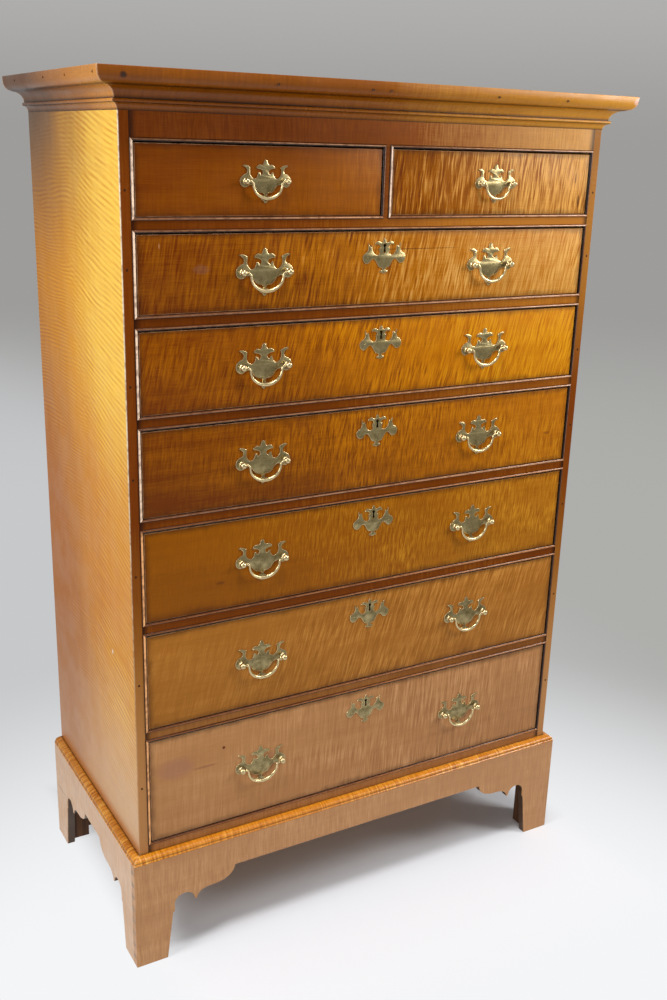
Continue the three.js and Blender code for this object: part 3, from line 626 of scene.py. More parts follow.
for number, ends in enumerate(RAIL_ENDS, 1):
    bottom = openings[ROWS[number]][2]
    next_top = openings[ROWS[number + 1]][3]
    piece(f"rail_under_row{number}", [
        block((-HALF_INSIDE, FLAT + BEAD_ROOT, next_top), (HALF_INSIDE, FLAT + RAIL_DEPTH, bottom)),
        block((-HALF_FLAT, FLAT, next_top + BEAD_WIDTH), (HALF_FLAT, FLAT + BEAD_ROOT, bottom - BEAD_WIDTH)),
    ], maple(f"rail_maple_{number}", RAIL_TONES if number < 6 else LOW_RAIL_TONES, curl=0.12, growth=0.18,
             seed=40.0 + number, shine=0.08, fades=[("x", -0.35, 0.40, *ends)], marks=rail_ends),
        replaces=[f"rail_{number}"])

# The frieze's tone fade is painted light and shade: darker at the left end, lighter at the right.
piece("frieze", [
    block((-HALF_FLAT, FLAT, ROWS_TOP + BEAD_WIDTH), (HALF_FLAT, FLAT + FRIEZE_THICK, SIDE_TOP)),
    block((-HALF_FLAT, FLAT + BEAD_ROOT, ROWS_TOP), (HALF_FLAT, FLAT + FRIEZE_THICK, ROWS_TOP + BEAD_WIDTH)),
], maple("frieze_maple", FRIEZE_TONES, curl=0.12, growth=0.12, seed=51.0, shine=0.12,
         fades=[("x", -0.25, 0.46, -0.26, 0.36)], marks=rail_ends), replaces=["top_and_frieze"])
piece("top_board", [block((-HALF_CASE, FLAT, SIDE_TOP), (HALF_CASE, BACK, TOP))],
      maple("top_maple", TOP_TONES, "xz", curl=0.25, seed=52.0, gloss=0.5), soften=0.0008)

lowest = openings["row7"][2]
rail_back = FLAT + LOWER_RAIL_THICK
piece("bottom_board", [
    block((-HALF_INSIDE, rail_back, lowest - BOTTOM_THICK), (HALF_INSIDE, BACK_INSIDE, lowest)),
], plain_wood("bottom_pine", PINE, "xz", 3.0), slot="secondary_wood", soften=0.0006)
piece("lower_rail", [
    block((-HALF_INSIDE, FLAT + BEAD_ROOT, CASE_FOOT), (HALF_INSIDE, rail_back, lowest)),
    block((-HALF_FLAT, FLAT, CASE_FOOT), (HALF_FLAT, FLAT + BEAD_ROOT, lowest - BEAD_WIDTH)),
], maple("lower_rail_maple", LOWER_RAIL_TONES, curl=0.12, seed=53.0, shine=0.15, marks=rail_ends),
    replaces=["bottom_and_lower_rail"])

divider, _, small_floor, small_top = openings["row1_right"]
divider_flat = divider - BEAD_WIDTH
piece("small_drawer_divider_post", [
    block((-divider, FLAT + BEAD_ROOT, small_floor), (divider, FLAT + RAIL_DEPTH, small_top)),
    block((-divider_flat, FLAT, small_floor - BEAD_WIDTH),
          (divider_flat, FLAT + BEAD_ROOT, small_top + BEAD_WIDTH)),
], maple("divider_maple", RAIL_TONES, "zy", curl=0.1, seed=54.0, shine=0.1),
    replaces=["small_drawer_divider"])
piece("centre_runner", [
    block((-divider, FLAT + RAIL_DEPTH, small_floor), (divider, BACK_INSIDE, small_floor + GUIDE_HEIGHT)),
    block((-divider - RUNNER_WIDTH, FLAT + RAIL_DEPTH + RUN_GAP, small_floor - RUNNER_HEIGHT),
          (divider + RUNNER_WIDTH, BACK_INSIDE, small_floor)),
], runner_wood, slot="secondary_wood", soften=0.0006)

# Back of five pine boards, lapped on each other and nailed into the rebates of the sides with
# cut iron nails, two at each end of a board.
BACK_BOARDS = 5
BACK_PINE = ((98, 66, 38), (160, 118, 76))
LAP_GROOVE = 0.003
NAIL_RADIUS = 0.0032
NAIL_INSET = 0.005
NAIL_SHARES = (0.22, 0.78)
RUST = (96, 62, 40)


def iron(name, shade, seed=0.0):
    """Old iron: dark grey brown with rust in patches, rough and a little pitted."""
    material, shader, point = bare_material(name)
    rust = field(point, 0.004, seed, 3.0)
    feed(shader, {"Base Color": ramped(rust, (shade, RUST), 0.35, 0.7), "Metallic": 0.7,
                  "Roughness": 0.58, "Normal": bumped(rust, 0.0002)})
    return material


levels = np.linspace(CASE_FOOT, SIDE_TOP, BACK_BOARDS + 1)
half_back = HALF_CASE - BACK_LIP
nail = [(NAIL_RADIUS, 0), (NAIL_RADIUS, -0.0002), (NAIL_RADIUS * 0.6, 0.0), (POINT, 0.00005)]
planks = []
nails = []
for low, high in zip(levels[:-1], levels[1:]):
    outline = [(BACK_INSIDE, low), (BACK - LAP_GROOVE, low), (BACK, low + LAP_GROOVE),
               (BACK, high - LAP_GROOVE), (BACK - LAP_GROOVE, high), (BACK_INSIDE, high)]
    planks.append(board(outline, 0, (-half_back, half_back)))
    nails += [turned(nail, (x, BACK - 0.0001, low + share * (high - low)), sign=1, sides=10)
              for share in NAIL_SHARES for x in (NAIL_INSET - half_back, half_back - NAIL_INSET)]
piece("back_planks", planks, plain_wood("back_pine", BACK_PINE, "xy", 6.0, 0.02),
      slot="secondary_wood", replaces=["back_boards"], soften=0.0006)
piece("back_nails", nails, iron("nail_iron", (52, 42, 36)), slot="secondary_wood")

# Cornice of maple in three lengths, mitred at the front corners and nailed to the case: from the
# top a plain fascia, an ovolo, a cavetto, a small half-round bead and a cove down to the case.
# Five brads show through the finish of the front length, and four through that of the left one.
CORNICE_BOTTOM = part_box("cornice")[0].z
CORNICE_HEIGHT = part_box("cornice")[1].z - CORNICE_BOTTOM
CORNICE_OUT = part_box("cornice")[1].x - HALF_CASE
CORNICE_TONES = {"front": ((84, 34, 0), (138, 74, 2), (206, 142, 46)),
                 "left": ((96, 62, 38), (162, 102, 42), (226, 152, 54)),
                 "right": ((110, 60, 22), (160, 102, 54), (206, 152, 100))}
# The lengths' tone fades are painted light: the front length lighter towards the right, the left one lighter
# towards the front.
CORNICE_FADES = {"front": [("x", -0.30, 0.44, -0.10, 0.36)],
                 "left": [("y", -0.25, 0.22, 0.22, -0.42)],
                 "right": []}
BRAD_RADIUS = 0.0019
BRAD_SHARE = 0.99
FRONT_BRADS = (-0.222, -0.058, -0.0245, 0.187, 0.335)
FRONT_BRAD_LEVEL = 1.5010
SIDE_BRADS = (0.173, 0.006, -0.105, -0.232)
SIDE_BRAD_LEVEL = 1.5055
PLUG = (-0.4605, -0.251, 1.5025)
WORN_END = (0.497, -0.249, 1.506)
MITRE_WEAR = 0.0022


def cornice_section():
    """The cornice's section in shares of its overhang and height, followed from the case up: a
    cove as an arc, the bead as a half turn, the cavetto and the ovolo as quarter turns of
    ellipses, and the fascia with an eased top edge; and the painted shade and grime at each
    point, most in the quirks between two members."""
    cove = arc((0.235, -0.02), (0.235, 0.185), 180, 95, 6)
    bead = arc((0.185, 0.212), (0.062, 0.046), -70, 110, 8)
    cavetto = arc((0.62, 0.262), (0.465, 0.305), 180, 92, 10)
    ovolo = arc((0.66, 0.855), (0.325, 0.265), -86, -4, 9)
    fascia = [(0.988, 0.86), *arc((0.97, 0.975), (0.03, 0.025), 0, 90, 3), (0.0, 1.0), (0.0, 0.0)]
    members = ((cove, 0.9, 0.7), (bead, 0.8, 1.0), (cavetto, 1.0, 0.6), (ovolo, 0.75, 0.0),
               (fascia, 0.0, 0.0))
    dirt = []
    for member, first, last in members:
        dirt += [first, 0.35 * first, *[0.0] * (len(member) - 4), 0.35 * last, last]
    return np.array([*cove, *bead, *cavetto, *ovolo, *fascia]), dirt


def mitred(section, out, up, base, start, end):
    """A moulding between two mitred or square ends. Each end is a corner of the case with the
    direction in which the section's first size is laid off there; the second goes up. A ring
    close to each end parts its scuffed edge from the rest."""
    first, last = [np.stack([x + dx * out * section[:, 0], y + dy * out * section[:, 0],
                             base + up * section[:, 1]], -1) for x, y, dx, dy in (start, end)]
    near = MITRE_WEAR / np.linalg.norm(np.subtract(end[:2], start[:2]))
    return skin([first + share * (last - first) for share in (0.0, near, 1.0 - near, 1.0)])


def cornice_marks(point, colour):
    """A dark wooden plug near the left end of the front, and the bare, broken corner at the right."""
    colour = spot(point, colour, PLUG, (0.0075, 0.01, 0.0065), (40, 28, 22), 0.85)
    return spot(point, colour, WORN_END, (0.012, 0.012, 0.009), (226, 178, 160), 0.8)


rear_left, front_left = (-HALF_CASE, BACK, -1, 0), (-HALF_CASE, FLAT, -1, -1)
rear_right, front_right = (HALF_CASE, BACK, 1, 0), (HALF_CASE, FLAT, 1, -1)
lengths = {"front": (front_left, front_right, "xz"), "left": (rear_left, front_left, "yz"),
           "right": (front_right, rear_right, "yz")}
section, quirks = cornice_section()
ends_rubbed = np.repeat((0.75, 0.0, 0.0, 0.75), len(section))
for order, (side, (start, end, cut)) in enumerate(lengths.items()):
    piece(f"cornice_{side}", [mitred(section, CORNICE_OUT, CORNICE_HEIGHT, CORNICE_BOTTOM, start, end)],
          maple(f"cornice_maple_{side}", CORNICE_TONES[side], cut, curl=0.08, growth=0.16,
                seed=60.0 + order, shine=0.28, gloss=0.24, depth=0.00005, fades=CORNICE_FADES[side],
                marks=cornice_marks),
          replaces=["cornice"] if side == "front" else [], fold=28, dirt=quirks, rubbed=ends_rubbed)
fascia_front = FLAT - CORNICE_OUT * BRAD_SHARE
fascia_left = -HALF_CASE - CORNICE_OUT * BRAD_SHARE
brad = [(BRAD_RADIUS, -0.0012), (BRAD_RADIUS, 0.0001), (0.6 * BRAD_RADIUS, -0.0002), (POINT, -0.0003)]
piece("cornice_brads", [turned(brad, (x, fascia_front, FRONT_BRAD_LEVEL), sides=10) for x in FRONT_BRADS]
      + [turned(brad, (fascia_left, y, SIDE_BRAD_LEVEL), axis=0, sides=10) for y in SIDE_BRADS],
      iron("brad_iron", (34, 22, 14), 5.0))

# Bracket base of three maple boards: the front one between the mitred mouldings, dovetailed to
# the two side ones. Each is sawn to a pierced ogee bracket at both ends. Pine blocks are glued
# behind the feet, and a plain bracket crosses the back behind each rear foot.
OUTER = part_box("base_front")[1].x
BASE_OUT = OUTER - HALF_CASE
MOULD_HEIGHT = 0.011
BOARD_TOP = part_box("base_front")[1].z - MOULD_HEIGHT
BLOCK_SIZE = 0.034
BLOCK_LIFT = 0.002
REAR_FOOT_WIDTH = 0.052
REAR_FOOT_HEIGHT = 0.060
REAR_CURVE = 0.098
REAR_STRAP = 0.016
FOOT_WIDTH = 0.0595
FOOT_LEAN = 0.0115
NOTCH_HEIGHT = 0.093
NOTCH_STEP = 0.0035
ARCH_STILT = 0.0135
ARCH_RADIUS = 0.019
ARCH_RISE = 0.0175
CUSP_WIDTH = 0.0045
CUSP_DROP = 0.002
COVE_LENGTH = 0.0285
COVE_SPREAD = 0.0035
COVE_RISE = 0.018
OGEE_LENGTH = 0.0485
OGEE_SPREAD = 0.005
OGEE_RISE = 0.028
BASE_TONES = ((144, 94, 54), (184, 132, 84), (220, 170, 118))
BASE_SIDE_TONES = ((176, 130, 94), (208, 166, 128), (232, 200, 166))
MOULD_TONES = ((136, 66, 2), (208, 128, 24), (248, 186, 84))
BLOCK_PINE = ((62, 38, 22), (116, 76, 46))
END_GRAIN = ((132, 108, 90), (168, 142, 120), (200, 176, 154))
SAWN_DARKNESS = 0.88
SAWN_EDGE = 0.0022
CORNER_MARGIN = 0.001
PIN_BITE = 0.004
PIN_PROUD = 0.00015


def swing(start, pull, end, steps=8):
    """Curve that leaves its start towards a pulling point and reaches its end from there."""
    t = np.linspace(0, 1, steps + 1)[:, None]
    return (1 - t) ** 2 * np.array(start) + 2 * t * (1 - t) * np.array(pull) + t ** 2 * np.array(end)


def bracket_edge():
    """Lower edge of a bracket board from the corner inwards: the leaning inner edge of the foot,
    a notch, a stilted arch, a pointed cusp, a cove and an ogee up to the apron."""
    notch = FOOT_WIDTH + FOOT_LEAN
    arch = notch + NOTCH_STEP + ARCH_RADIUS
    spring = NOTCH_HEIGHT + NOTCH_STEP + ARCH_STILT
    cusp = arch + ARCH_RADIUS + CUSP_WIDTH
    cove = cusp + COVE_LENGTH
    height = spring - CUSP_DROP + COVE_RISE
    end = cove + OGEE_LENGTH
    return np.array([
        (0, 0), (FOOT_WIDTH, 0), (notch, NOTCH_HEIGHT), (notch + NOTCH_STEP, NOTCH_HEIGHT + NOTCH_STEP),
        *arc((arch, spring), (ARCH_RADIUS, ARCH_RISE), 180, 0, 14),
        *swing((cusp, spring - CUSP_DROP), (cusp + COVE_SPREAD, height), (cove, height)),
        *swing((cove, height), (end - OGEE_SPREAD, height), (end, height + OGEE_RISE))[1:],
    ])


def bracket_board(start, end):
    """Whole outline of a bracket board: the edge from one corner, the same edge mirrored from
    the other, and the straight top."""
    edge = bracket_edge()
    far = (edge * (-1, 1) + (end, 0))[::-1]
    return np.array([*(edge + (start, 0)), *far, (end, BOARD_TOP), (start, BOARD_TOP)])


def mould_section():
    """Base moulding in shares: an upright lower edge, a shallow cove and a broad rounded top; and
    the painted shade and grime at each point, in the cove and where the top meets the case."""
    cove = arc((1.02, 0.42), (0.14, 0.24), 250, 180, 4)
    crown = arc((0.1, 0.42), (0.78, 0.58), 0, 90, 9)
    section = np.array([(0, 0), (1.0, 0.0), (1.0, 0.14), *cove[1:], *crown[1:], (0, 1)])
    return section, [0.0, 0.0, 0.0, 0.1, 0.4, 0.5, 0.3, *[0.0] * 8, 0.55, 0.9]


def sawn_dirt(outline, start, end):
    """How dark a bracket board's outlines are from the outer face in: none, then dark on the sawn
    edge and the inner face."""
    along_board, up = outline.T
    sawn = (along_board > start + CORNER_MARGIN) & (along_board < end - CORNER_MARGIN) & (up < BOARD_TOP)
    return SAWN_DARKNESS * np.array([0.0 * sawn, sawn, sawn])


def base_seam(point, colour):
    """The rear feet are pieced: a thin dark seam runs across them."""
    return spot(point, colour, (-OUTER, 0.215, 0.118), (0.05, 0.045, 0.0014), (62, 40, 26), 0.8)


base_face = FLAT - BASE_OUT
outline = bracket_board(-OUTER, OUTER)
piece("base_front_board", [board(outline, 1, (base_face, base_face + SAWN_EDGE, FLAT))],
      maple("base_front_maple", BASE_TONES, curl=0.16, run=0.05, seed=71.0, shine=0.3),
      replaces=["base_front"], soften=0.0012, fold=50, dirt=sawn_dirt(outline, -OUTER, OUTER))
section, mould_dirt = mould_section()
ends_rubbed = np.repeat((0.6, 0.0, 0.0, 0.6), len(section))
for order, (side, (start, end, cut)) in enumerate(lengths.items()):
    piece(f"base_mould_{side}", [mitred(section, BASE_OUT, MOULD_HEIGHT, BOARD_TOP, start, end)],
          maple(f"base_mould_maple_{side}", MOULD_TONES, cut, curl=0.45, period=0.0045, run=0.05,
                seed=74.0 + order, shine=0.45, gloss=0.22), fold=28, dirt=mould_dirt, rubbed=ends_rubbed)

side_outline = bracket_board(base_face, BACK)[1:]
side_outline = np.array([(FLAT, 0.0), *side_outline[side_outline[:, 0] > FLAT], (FLAT, BOARD_TOP)])
rear_face = BACK - BASE_OUT
foot = HALF_CASE - REAR_FOOT_WIDTH
tip = foot - REAR_CURVE
strap = CASE_FOOT - REAR_STRAP
rear = np.array([(HALF_CASE, 0), (foot, 0), *swing((foot, REAR_FOOT_HEIGHT), (foot, strap), (tip, strap)),
                 (tip, CASE_FOOT), (HALF_CASE, CASE_FOOT)])
block_wood = plain_wood("block_pine", BLOCK_PINE, "zy", 8.0)
for sign, side in ((-1, "left"), (1, "right")):
    depths = np.multiply(sign, (OUTER, OUTER - SAWN_EDGE, HALF_CASE))
    piece(f"base_{side}_board", [board(side_outline, 0, depths)],
          maple(f"base_{side}_maple", BASE_SIDE_TONES, "yx", curl=0.2, seed=78.0 + sign, shine=0.3,
                marks=base_seam),
          slot="side_maple", replaces=[f"base_{side}"], soften=0.0012, fold=50,
          dirt=sawn_dirt(side_outline, FLAT, BACK))
    x0, x1 = sign * (HALF_CASE - BLOCK_SIZE), sign * HALF_CASE
    piece(f"glue_blocks_{side}", [
        block((x0, FLAT, BLOCK_LIFT), (x1, FLAT + BLOCK_SIZE, CASE_FOOT)),
        block((x0, rear_face - BLOCK_SIZE, BLOCK_LIFT), (x1, rear_face, CASE_FOOT)),
        board(rear * (sign, 1), 1, (rear_face, BACK)),
    ], block_wood, slot="secondary_wood", soften=0.001, fold=50)

DOVETAIL_PITCH = 0.044
DOVETAIL_NECK = 0.005
DOVETAIL_FLARE = 0.0026


def dovetails(x_range, y_tip, y_base, low, high, pitch=DOVETAIL_PITCH):
    """Pins of a corner joint: wedges between the tails, narrow at the tails' tips."""
    count = max(2, round((high - low) / pitch))
    places = low + (np.arange(count) + 0.5) * (high - low) / count
    neck, base = DOVETAIL_NECK / 2, DOVETAIL_NECK / 2 + DOVETAIL_FLARE
    return [board([(y_tip, z - neck), (y_base, z - base), (y_base, z + base), (y_tip, z + neck)], 0, x_range)
            for z in places]


piece("base_corner_pins", [
    pin for sign in (-1, 1)
    for pin in dovetails((sign * (OUTER - PIN_BITE), sign * (OUTER + PIN_PROUD)), base_face + 0.003, FLAT,
                         2 * PIN_BITE, BOARD_TOP - PIN_BITE, 0.024)
], maple("end_grain", END_GRAIN, curl=0.0, seed=76.0, shine=0.1, gloss=0.5))

# Eight drawers. Each front is a thick board of figured maple lapping the ends of the pine sides,
# which are dovetailed to it and to the back; the bottom slides in grooves from behind. An iron
# lock sits behind the keyhole of each wide drawer, its edge let into the front, with four screws.
BOX_THICK = 0.012
BOTTOM_LIFT = 0.008
BOTTOM_BOARD = 0.008
BOX_GROOVE = 0.005
FRONT_ROUND = 0.0014
LAP = FLAT + 0.007
REAR = FLAT + 0.020
TAILS_PROUD = 0.0002
KEY_DROP = 0.023
KEY_RADIUS = 0.0028
KEY_SLOT = 0.0014
KEY_FOOT = 0.0022
KEY_LENGTH = 0.0125
LOCK_WIDTH = 0.066
LOCK_HEIGHT = 0.042
LOCK_THICK = 0.003
LOCK_EDGE = 0.0015
SCREW_INSET = 0.007
SCREW_DROPS = (0.009, 0.038)
BOLT_HALF = 0.012
BOLT_FACE = FLAT + 0.010
BOLT_THICK = 0.004
BOLT_RISE = 0.0003
EDGE_DIRT = (54, 22, 6)
# Painted shade for the inside of the keyhole.
KEYHOLE_SHADE = (8, 5, 3)
DRAWER_PINE = ((120, 82, 48), (184, 142, 96))
FLOOR_PINE = ((110, 78, 48), (172, 134, 92))
BACK_PINE_DARK = ((104, 70, 40), (160, 120, 78))
# For each front its tones, and the curl's strength, period, run and lean, the strength of the
# growth bands, and what is added to the tone at the left end and at the right end. These end
# values are painted light and shade, darker at the left and lighter at the right on the upper
# fronts; the paler, bluer tones of the two lowest rows are partly a painted reflection of the
# pale floor.
FRONT_LOOKS = {
    "row1_left": (((108, 48, 0), (150, 82, 2), (194, 122, 32)), 0.18, 0.0034, 0.050, 0.00, 0.18, -0.32, 0.34),
    "row1_right": (((104, 44, 0), (150, 84, 2), (218, 158, 76)), 0.46, 0.0044, 0.055, 0.08, 0.1, -0.66, 0.26),
    "row2": (((102, 42, 0), (174, 104, 6), (216, 160, 80)), 0.46, 0.0044, 0.055, 0.18, 0.12, -0.32, 0.24),
    "row3": (((104, 42, 0), (188, 112, 0), (216, 148, 16)), 0.40, 0.0038, 0.045, 0.24, 0.12, -0.32, 0.16),
    "row4": (((106, 48, 0), (176, 104, 2), (202, 136, 22)), 0.34, 0.0032, 0.035, 0.10, 0.18, -0.32, 0.0),
    "row5": (((110, 54, 0), (148, 84, 0), (196, 132, 28)), 0.34, 0.0030, 0.035, 0.10, 0.16, -0.10, 0.16),
    "row6": (((124, 68, 8), (162, 102, 34), (204, 142, 66)), 0.34, 0.0036, 0.050, 0.28, 0.14, 0.0, 0.02),
    "row7": (((138, 86, 50), (178, 126, 78), (212, 160, 112)), 0.30, 0.0038, 0.060, 0.05, 0.14, 0.02, -0.04),
}
# Stains, scratches and a knot on the fronts: place across and up, the two radii, colour, strength.
FRONT_SPOTS = {
    "row1_right": [(0.415, 1.333, 0.004, 0.016, (60, 24, 8), 0.7),
                   (0.405, 1.372, 0.0025, 0.012, (70, 30, 10), 0.6)],
    "row2": [(-0.330, 1.232, 0.020, 0.010, (124, 100, 96), 0.16),
             (-0.398, 1.268, 0.0010, 0.006, (206, 160, 116), 0.5),
             (0.06, 1.2555, 0.13, 0.0012, (50, 20, 6), 0.6)],
    "row3": [(-0.325, 1.090, 0.006, 0.0018, (96, 36, 4), 0.6), (-0.40, 1.058, 0.006, 0.02, (96, 40, 4), 0.4)],
    "row4": [(0.39, 0.90, 0.012, 0.004, (104, 48, 6), 0.5)],
    "row5": [(-0.30, 0.71, 0.012, 0.004, (84, 38, 10), 0.5)],
    "row7": [(-0.2945, 0.3935, 0.0042, 0.0042, (92, 34, 10), 0.95),
             (-0.33, 0.365, 0.035, 0.003, (134, 82, 66), 0.5),
             (-0.385, 0.375, 0.05, 0.03, (150, 100, 92), 0.35),
             (-0.20, 0.345, 0.03, 0.02, (140, 94, 80), 0.3)],
}


def inset(outline, width):
    """The outline drawn in by a width: each corner moves along the mitre of its two edges, whose
    outward sides are found from the outline's turning sense. It goes no further than a share of
    the largest circle that touches the corner and fits inside, so narrow tips stay whole."""
    edge = np.roll(outline, -1, 0) - outline
    area = np.sum(outline[:, 0] * np.roll(outline[:, 1], -1) - outline[:, 1] * np.roll(outline[:, 0], -1))
    normal = np.sign(area) * np.stack([edge[:, 1], -edge[:, 0]], -1) / np.linalg.norm(edge, axis=1)[:, None]
    before = np.roll(normal, 1, 0)
    inward = -(normal + before) / np.maximum(1 + np.sum(normal * before, 1), 0.6)[:, None]
    across = outline[None] - outline[:, None]
    deep = np.einsum("ijk,ik->ij", across, inward / np.linalg.norm(inward, axis=1)[:, None])
    room = np.where(deep > 1e-9, np.sum(across ** 2, -1) / np.maximum(2 * deep, 1e-9), np.inf).min(1)
    room = np.minimum(room, np.minimum(np.roll(room, 1), np.roll(room, -1)))
    return outline + np.minimum(width, 0.6 * room)[:, None] * inward


def eased(outline, back, front, soft, steps):
    """Rings of a plate whose front edge is eased: full size at the back, then a quarter turn in
    which the outline draws in by the soft radius as it comes forward."""
    rings = [np.insert(outline, 1, back, axis=1)]
    for turn in np.linspace(0, np.pi / 2, steps + 1):
        drawn_in = inset(outline, soft * (1 - np.cos(turn)))
        rings.append(np.insert(drawn_in, 1, front + soft * (1 - np.sin(turn)), axis=1))
    return np.array(rings)


def pierced(outer, hole):
    """A plate with a hole: the outer walls, the hole's walls turned to face into it, and both
    flat faces filled between the two outlines."""
    (outer_points, outer_faces), (hole_points, hole_faces) = skin(outer), skin(hole)
    start = len(outer_points)
    faces = outer_faces[:-2] + [[start + i for i in face[::-1]] for face in hole_faces[:-2]]
    points = np.concatenate([outer_points, hole_points])
    sides, hole_sides = len(outer[0]), len(hole[0])
    middle = np.mean(points, 0)
    for ring, first, second in ((0, 0, start), (-1, start - sides, len(points) - hole_sides)):
        ids = np.concatenate([np.arange(sides) + first, np.arange(hole_sides) + second])
        rims = [[Vector(p) for p in outer[ring]], [Vector(p) for p in hole[ring]]]
        thirds = ids[np.array(tessellate_polygon(rims))]
        a, b, c = points[thirds[:, 0]], points[thirds[:, 1]], points[thirds[:, 2]]
        facing = np.einsum("ij,ij->i", np.cross(b - a, c - a), a - middle) < 0
        thirds[facing] = thirds[facing][:, ::-1]
        faces += thirds.tolist()
    return points, faces


def keyhole(x, z):
    """Keyhole outline: a round top and a slot that widens a little to its foot."""
    top = arc((x, z), (KEY_RADIUS, KEY_RADIUS), -60, 240, 14)
    foot = arc((x, z - KEY_LENGTH + KEY_FOOT), (KEY_FOOT, KEY_FOOT), 180, 360, 5)
    waist = z - 2.2 * KEY_RADIUS
    return np.array([(x + KEY_SLOT, waist), *top, (x - KEY_SLOT, waist), *foot])


def front_marks(low, high, spots):
    """Dirt and old polish that darken a front in an uneven band along its edges, and its spots."""
    def marks(point, colour):
        room = [calc("SUBTRACT", (far - near) / 2, calc("ABSOLUTE", measure(point, axis) - (near + far) / 2))
                for axis, near, far in (("x", low.x, high.x), ("z", low.z, high.z))]
        nearest = field(point, 0.03, high.z * 7.0, 3.0) * 0.016 + calc("MINIMUM", *room)
        colour = mixed(ease(nearest, 0.006, 0.020, 0.5, 0.0), colour, EDGE_DIRT)
        for x, z, wide, high_up, shade, strength in spots:
            colour = spot(point, colour, (x, FLAT, z), (wide, 0.05, high_up), shade, strength)
        return colour
    return marks


lock_iron = iron("lock_iron", (70, 60, 52), 3.0)
screw = [(0.0032, 0), (0.0032, 0.0006), (0.002, 0.0012), (POINT, 0.0014)]
for order, row in enumerate(ROWS):
    body = f"drawer_{row}"
    small = row.startswith("row1")
    low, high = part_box(f"drawer_front_{row}")
    _, rear_end, side_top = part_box(f"drawer_box_{row}")[1]
    side_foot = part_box(f"drawer_box_{row}")[0].z
    groove = side_foot + BOTTOM_LIFT
    left, right, middle = low.x + BOX_THICK, high.x - BOX_THICK, (low.x + high.x) / 2
    side_faces = ((low.x - TAILS_PROUD, left), (right, high.x + TAILS_PROUD))
    spots = FRONT_SPOTS.get(row, [])
    front_rings = eased(rectangle(low.x, low.z, high.x, high.z), LAP, FLAT, FRONT_ROUND, 3)
    tongue = copies(rectangle(left, low.z, right, high.z), 1, (REAR, LAP))
    if small:
        solids = [skin(front_rings), skin(tongue)]
    else:
        hole = keyhole(middle, high.z - KEY_DROP)
        solids = [pierced(front_rings, copies(hole, 1, (LAP, FLAT))),
                  pierced(tongue, copies(hole, 1, (REAR, LAP)))]
        # Painted shade darkens the keyhole's walls and the wood round it under the escutcheon.
        spots = spots + [(0.0, high.z - KEY_DROP - 0.005, 0.006, 0.011, KEYHOLE_SHADE, 1.0)]
    for face in side_faces:
        solids += dovetails(face, LAP, REAR, low.z, side_top)
    # Painted highlight along the front's eased edges, strongest on the left edge.
    edge_highlight = np.zeros(sum(len(points) for points, _ in solids))
    edge_highlight[:16] = np.outer((0.0, 0.6, 1.0, 0.4), (0.9, 0.15, 0.1, 0.7)).ravel()
    # The tone fade across each front is painted light and shade.
    tones, curl, period, run, lean, growth, *end_tones = FRONT_LOOKS[row]
    piece(f"front_{row}", solids,
          maple(f"front_maple_{row}", tones, "xy", curl, period, run, lean, growth, 80.0 + 3 * order,
                shine=0.1, fades=[("x", -HALF_INSIDE, HALF_INSIDE, *end_tones)],
                curl_fade=(-0.36, 0.05, 0.3, 1.0), marks=front_marks(low, high, spots)),
          body, replaces=[f"drawer_front_{row}"], fold=35, rubbed=edge_highlight)

    back = [block((left, rear_end - BOX_THICK, groove + BOTTOM_BOARD), (right, rear_end, side_top))]
    for face in side_faces:
        back += dovetails(face, rear_end + TAILS_PROUD, rear_end - BOX_THICK, groove + BOTTOM_LIFT, side_top)
    piece(f"drawer_sides_{row}", [
        block((low.x, LAP, side_foot), (left, rear_end, side_top)),
        block((right, LAP, side_foot), (high.x, rear_end, side_top)),
    ], plain_wood(f"drawer_pine_{row}", DRAWER_PINE, "yx", 10.0 + order), body, "secondary_wood",
        [f"drawer_box_{row}"], soften=0.0008)
    piece(f"drawer_back_{row}", back,
          plain_wood(f"drawer_back_pine_{row}", BACK_PINE_DARK, "xy", 30.0 + order), body, "secondary_wood")
    piece(f"drawer_bottom_{row}", [
        block((left - BOX_GROOVE, REAR, groove), (right + BOX_GROOVE, rear_end, groove + BOTTOM_BOARD)),
    ], plain_wood(f"drawer_floor_{row}", FLOOR_PINE, "xz", 20.0 + order, 0.03), body, "secondary_wood")
    if small:
        continue
    half = LOCK_WIDTH / 2
    plate = rectangle(middle - half, high.z - LOCK_HEIGHT - 0.004, middle + half, high.z - 0.001)
    screws = [turned(screw, (middle + dx, REAR + LOCK_THICK, high.z - dz), sign=1, sides=12)
              for dx in (SCREW_INSET - half, half - SCREW_INSET) for dz in SCREW_DROPS]
    piece(f"lock_{row}", [
        board(plate, 1, (REAR, REAR + LOCK_THICK)),
        block((middle - half, LAP, high.z - LOCK_EDGE), (middle + half, REAR + LOCK_THICK, high.z)),
        block((middle - BOLT_HALF, BOLT_FACE, high.z - 0.001),
              (middle + BOLT_HALF, BOLT_FACE + BOLT_THICK, high.z + BOLT_RISE)),
        *screws,
    ], lock_iron, body, "aged_brass", soften=0.0003)

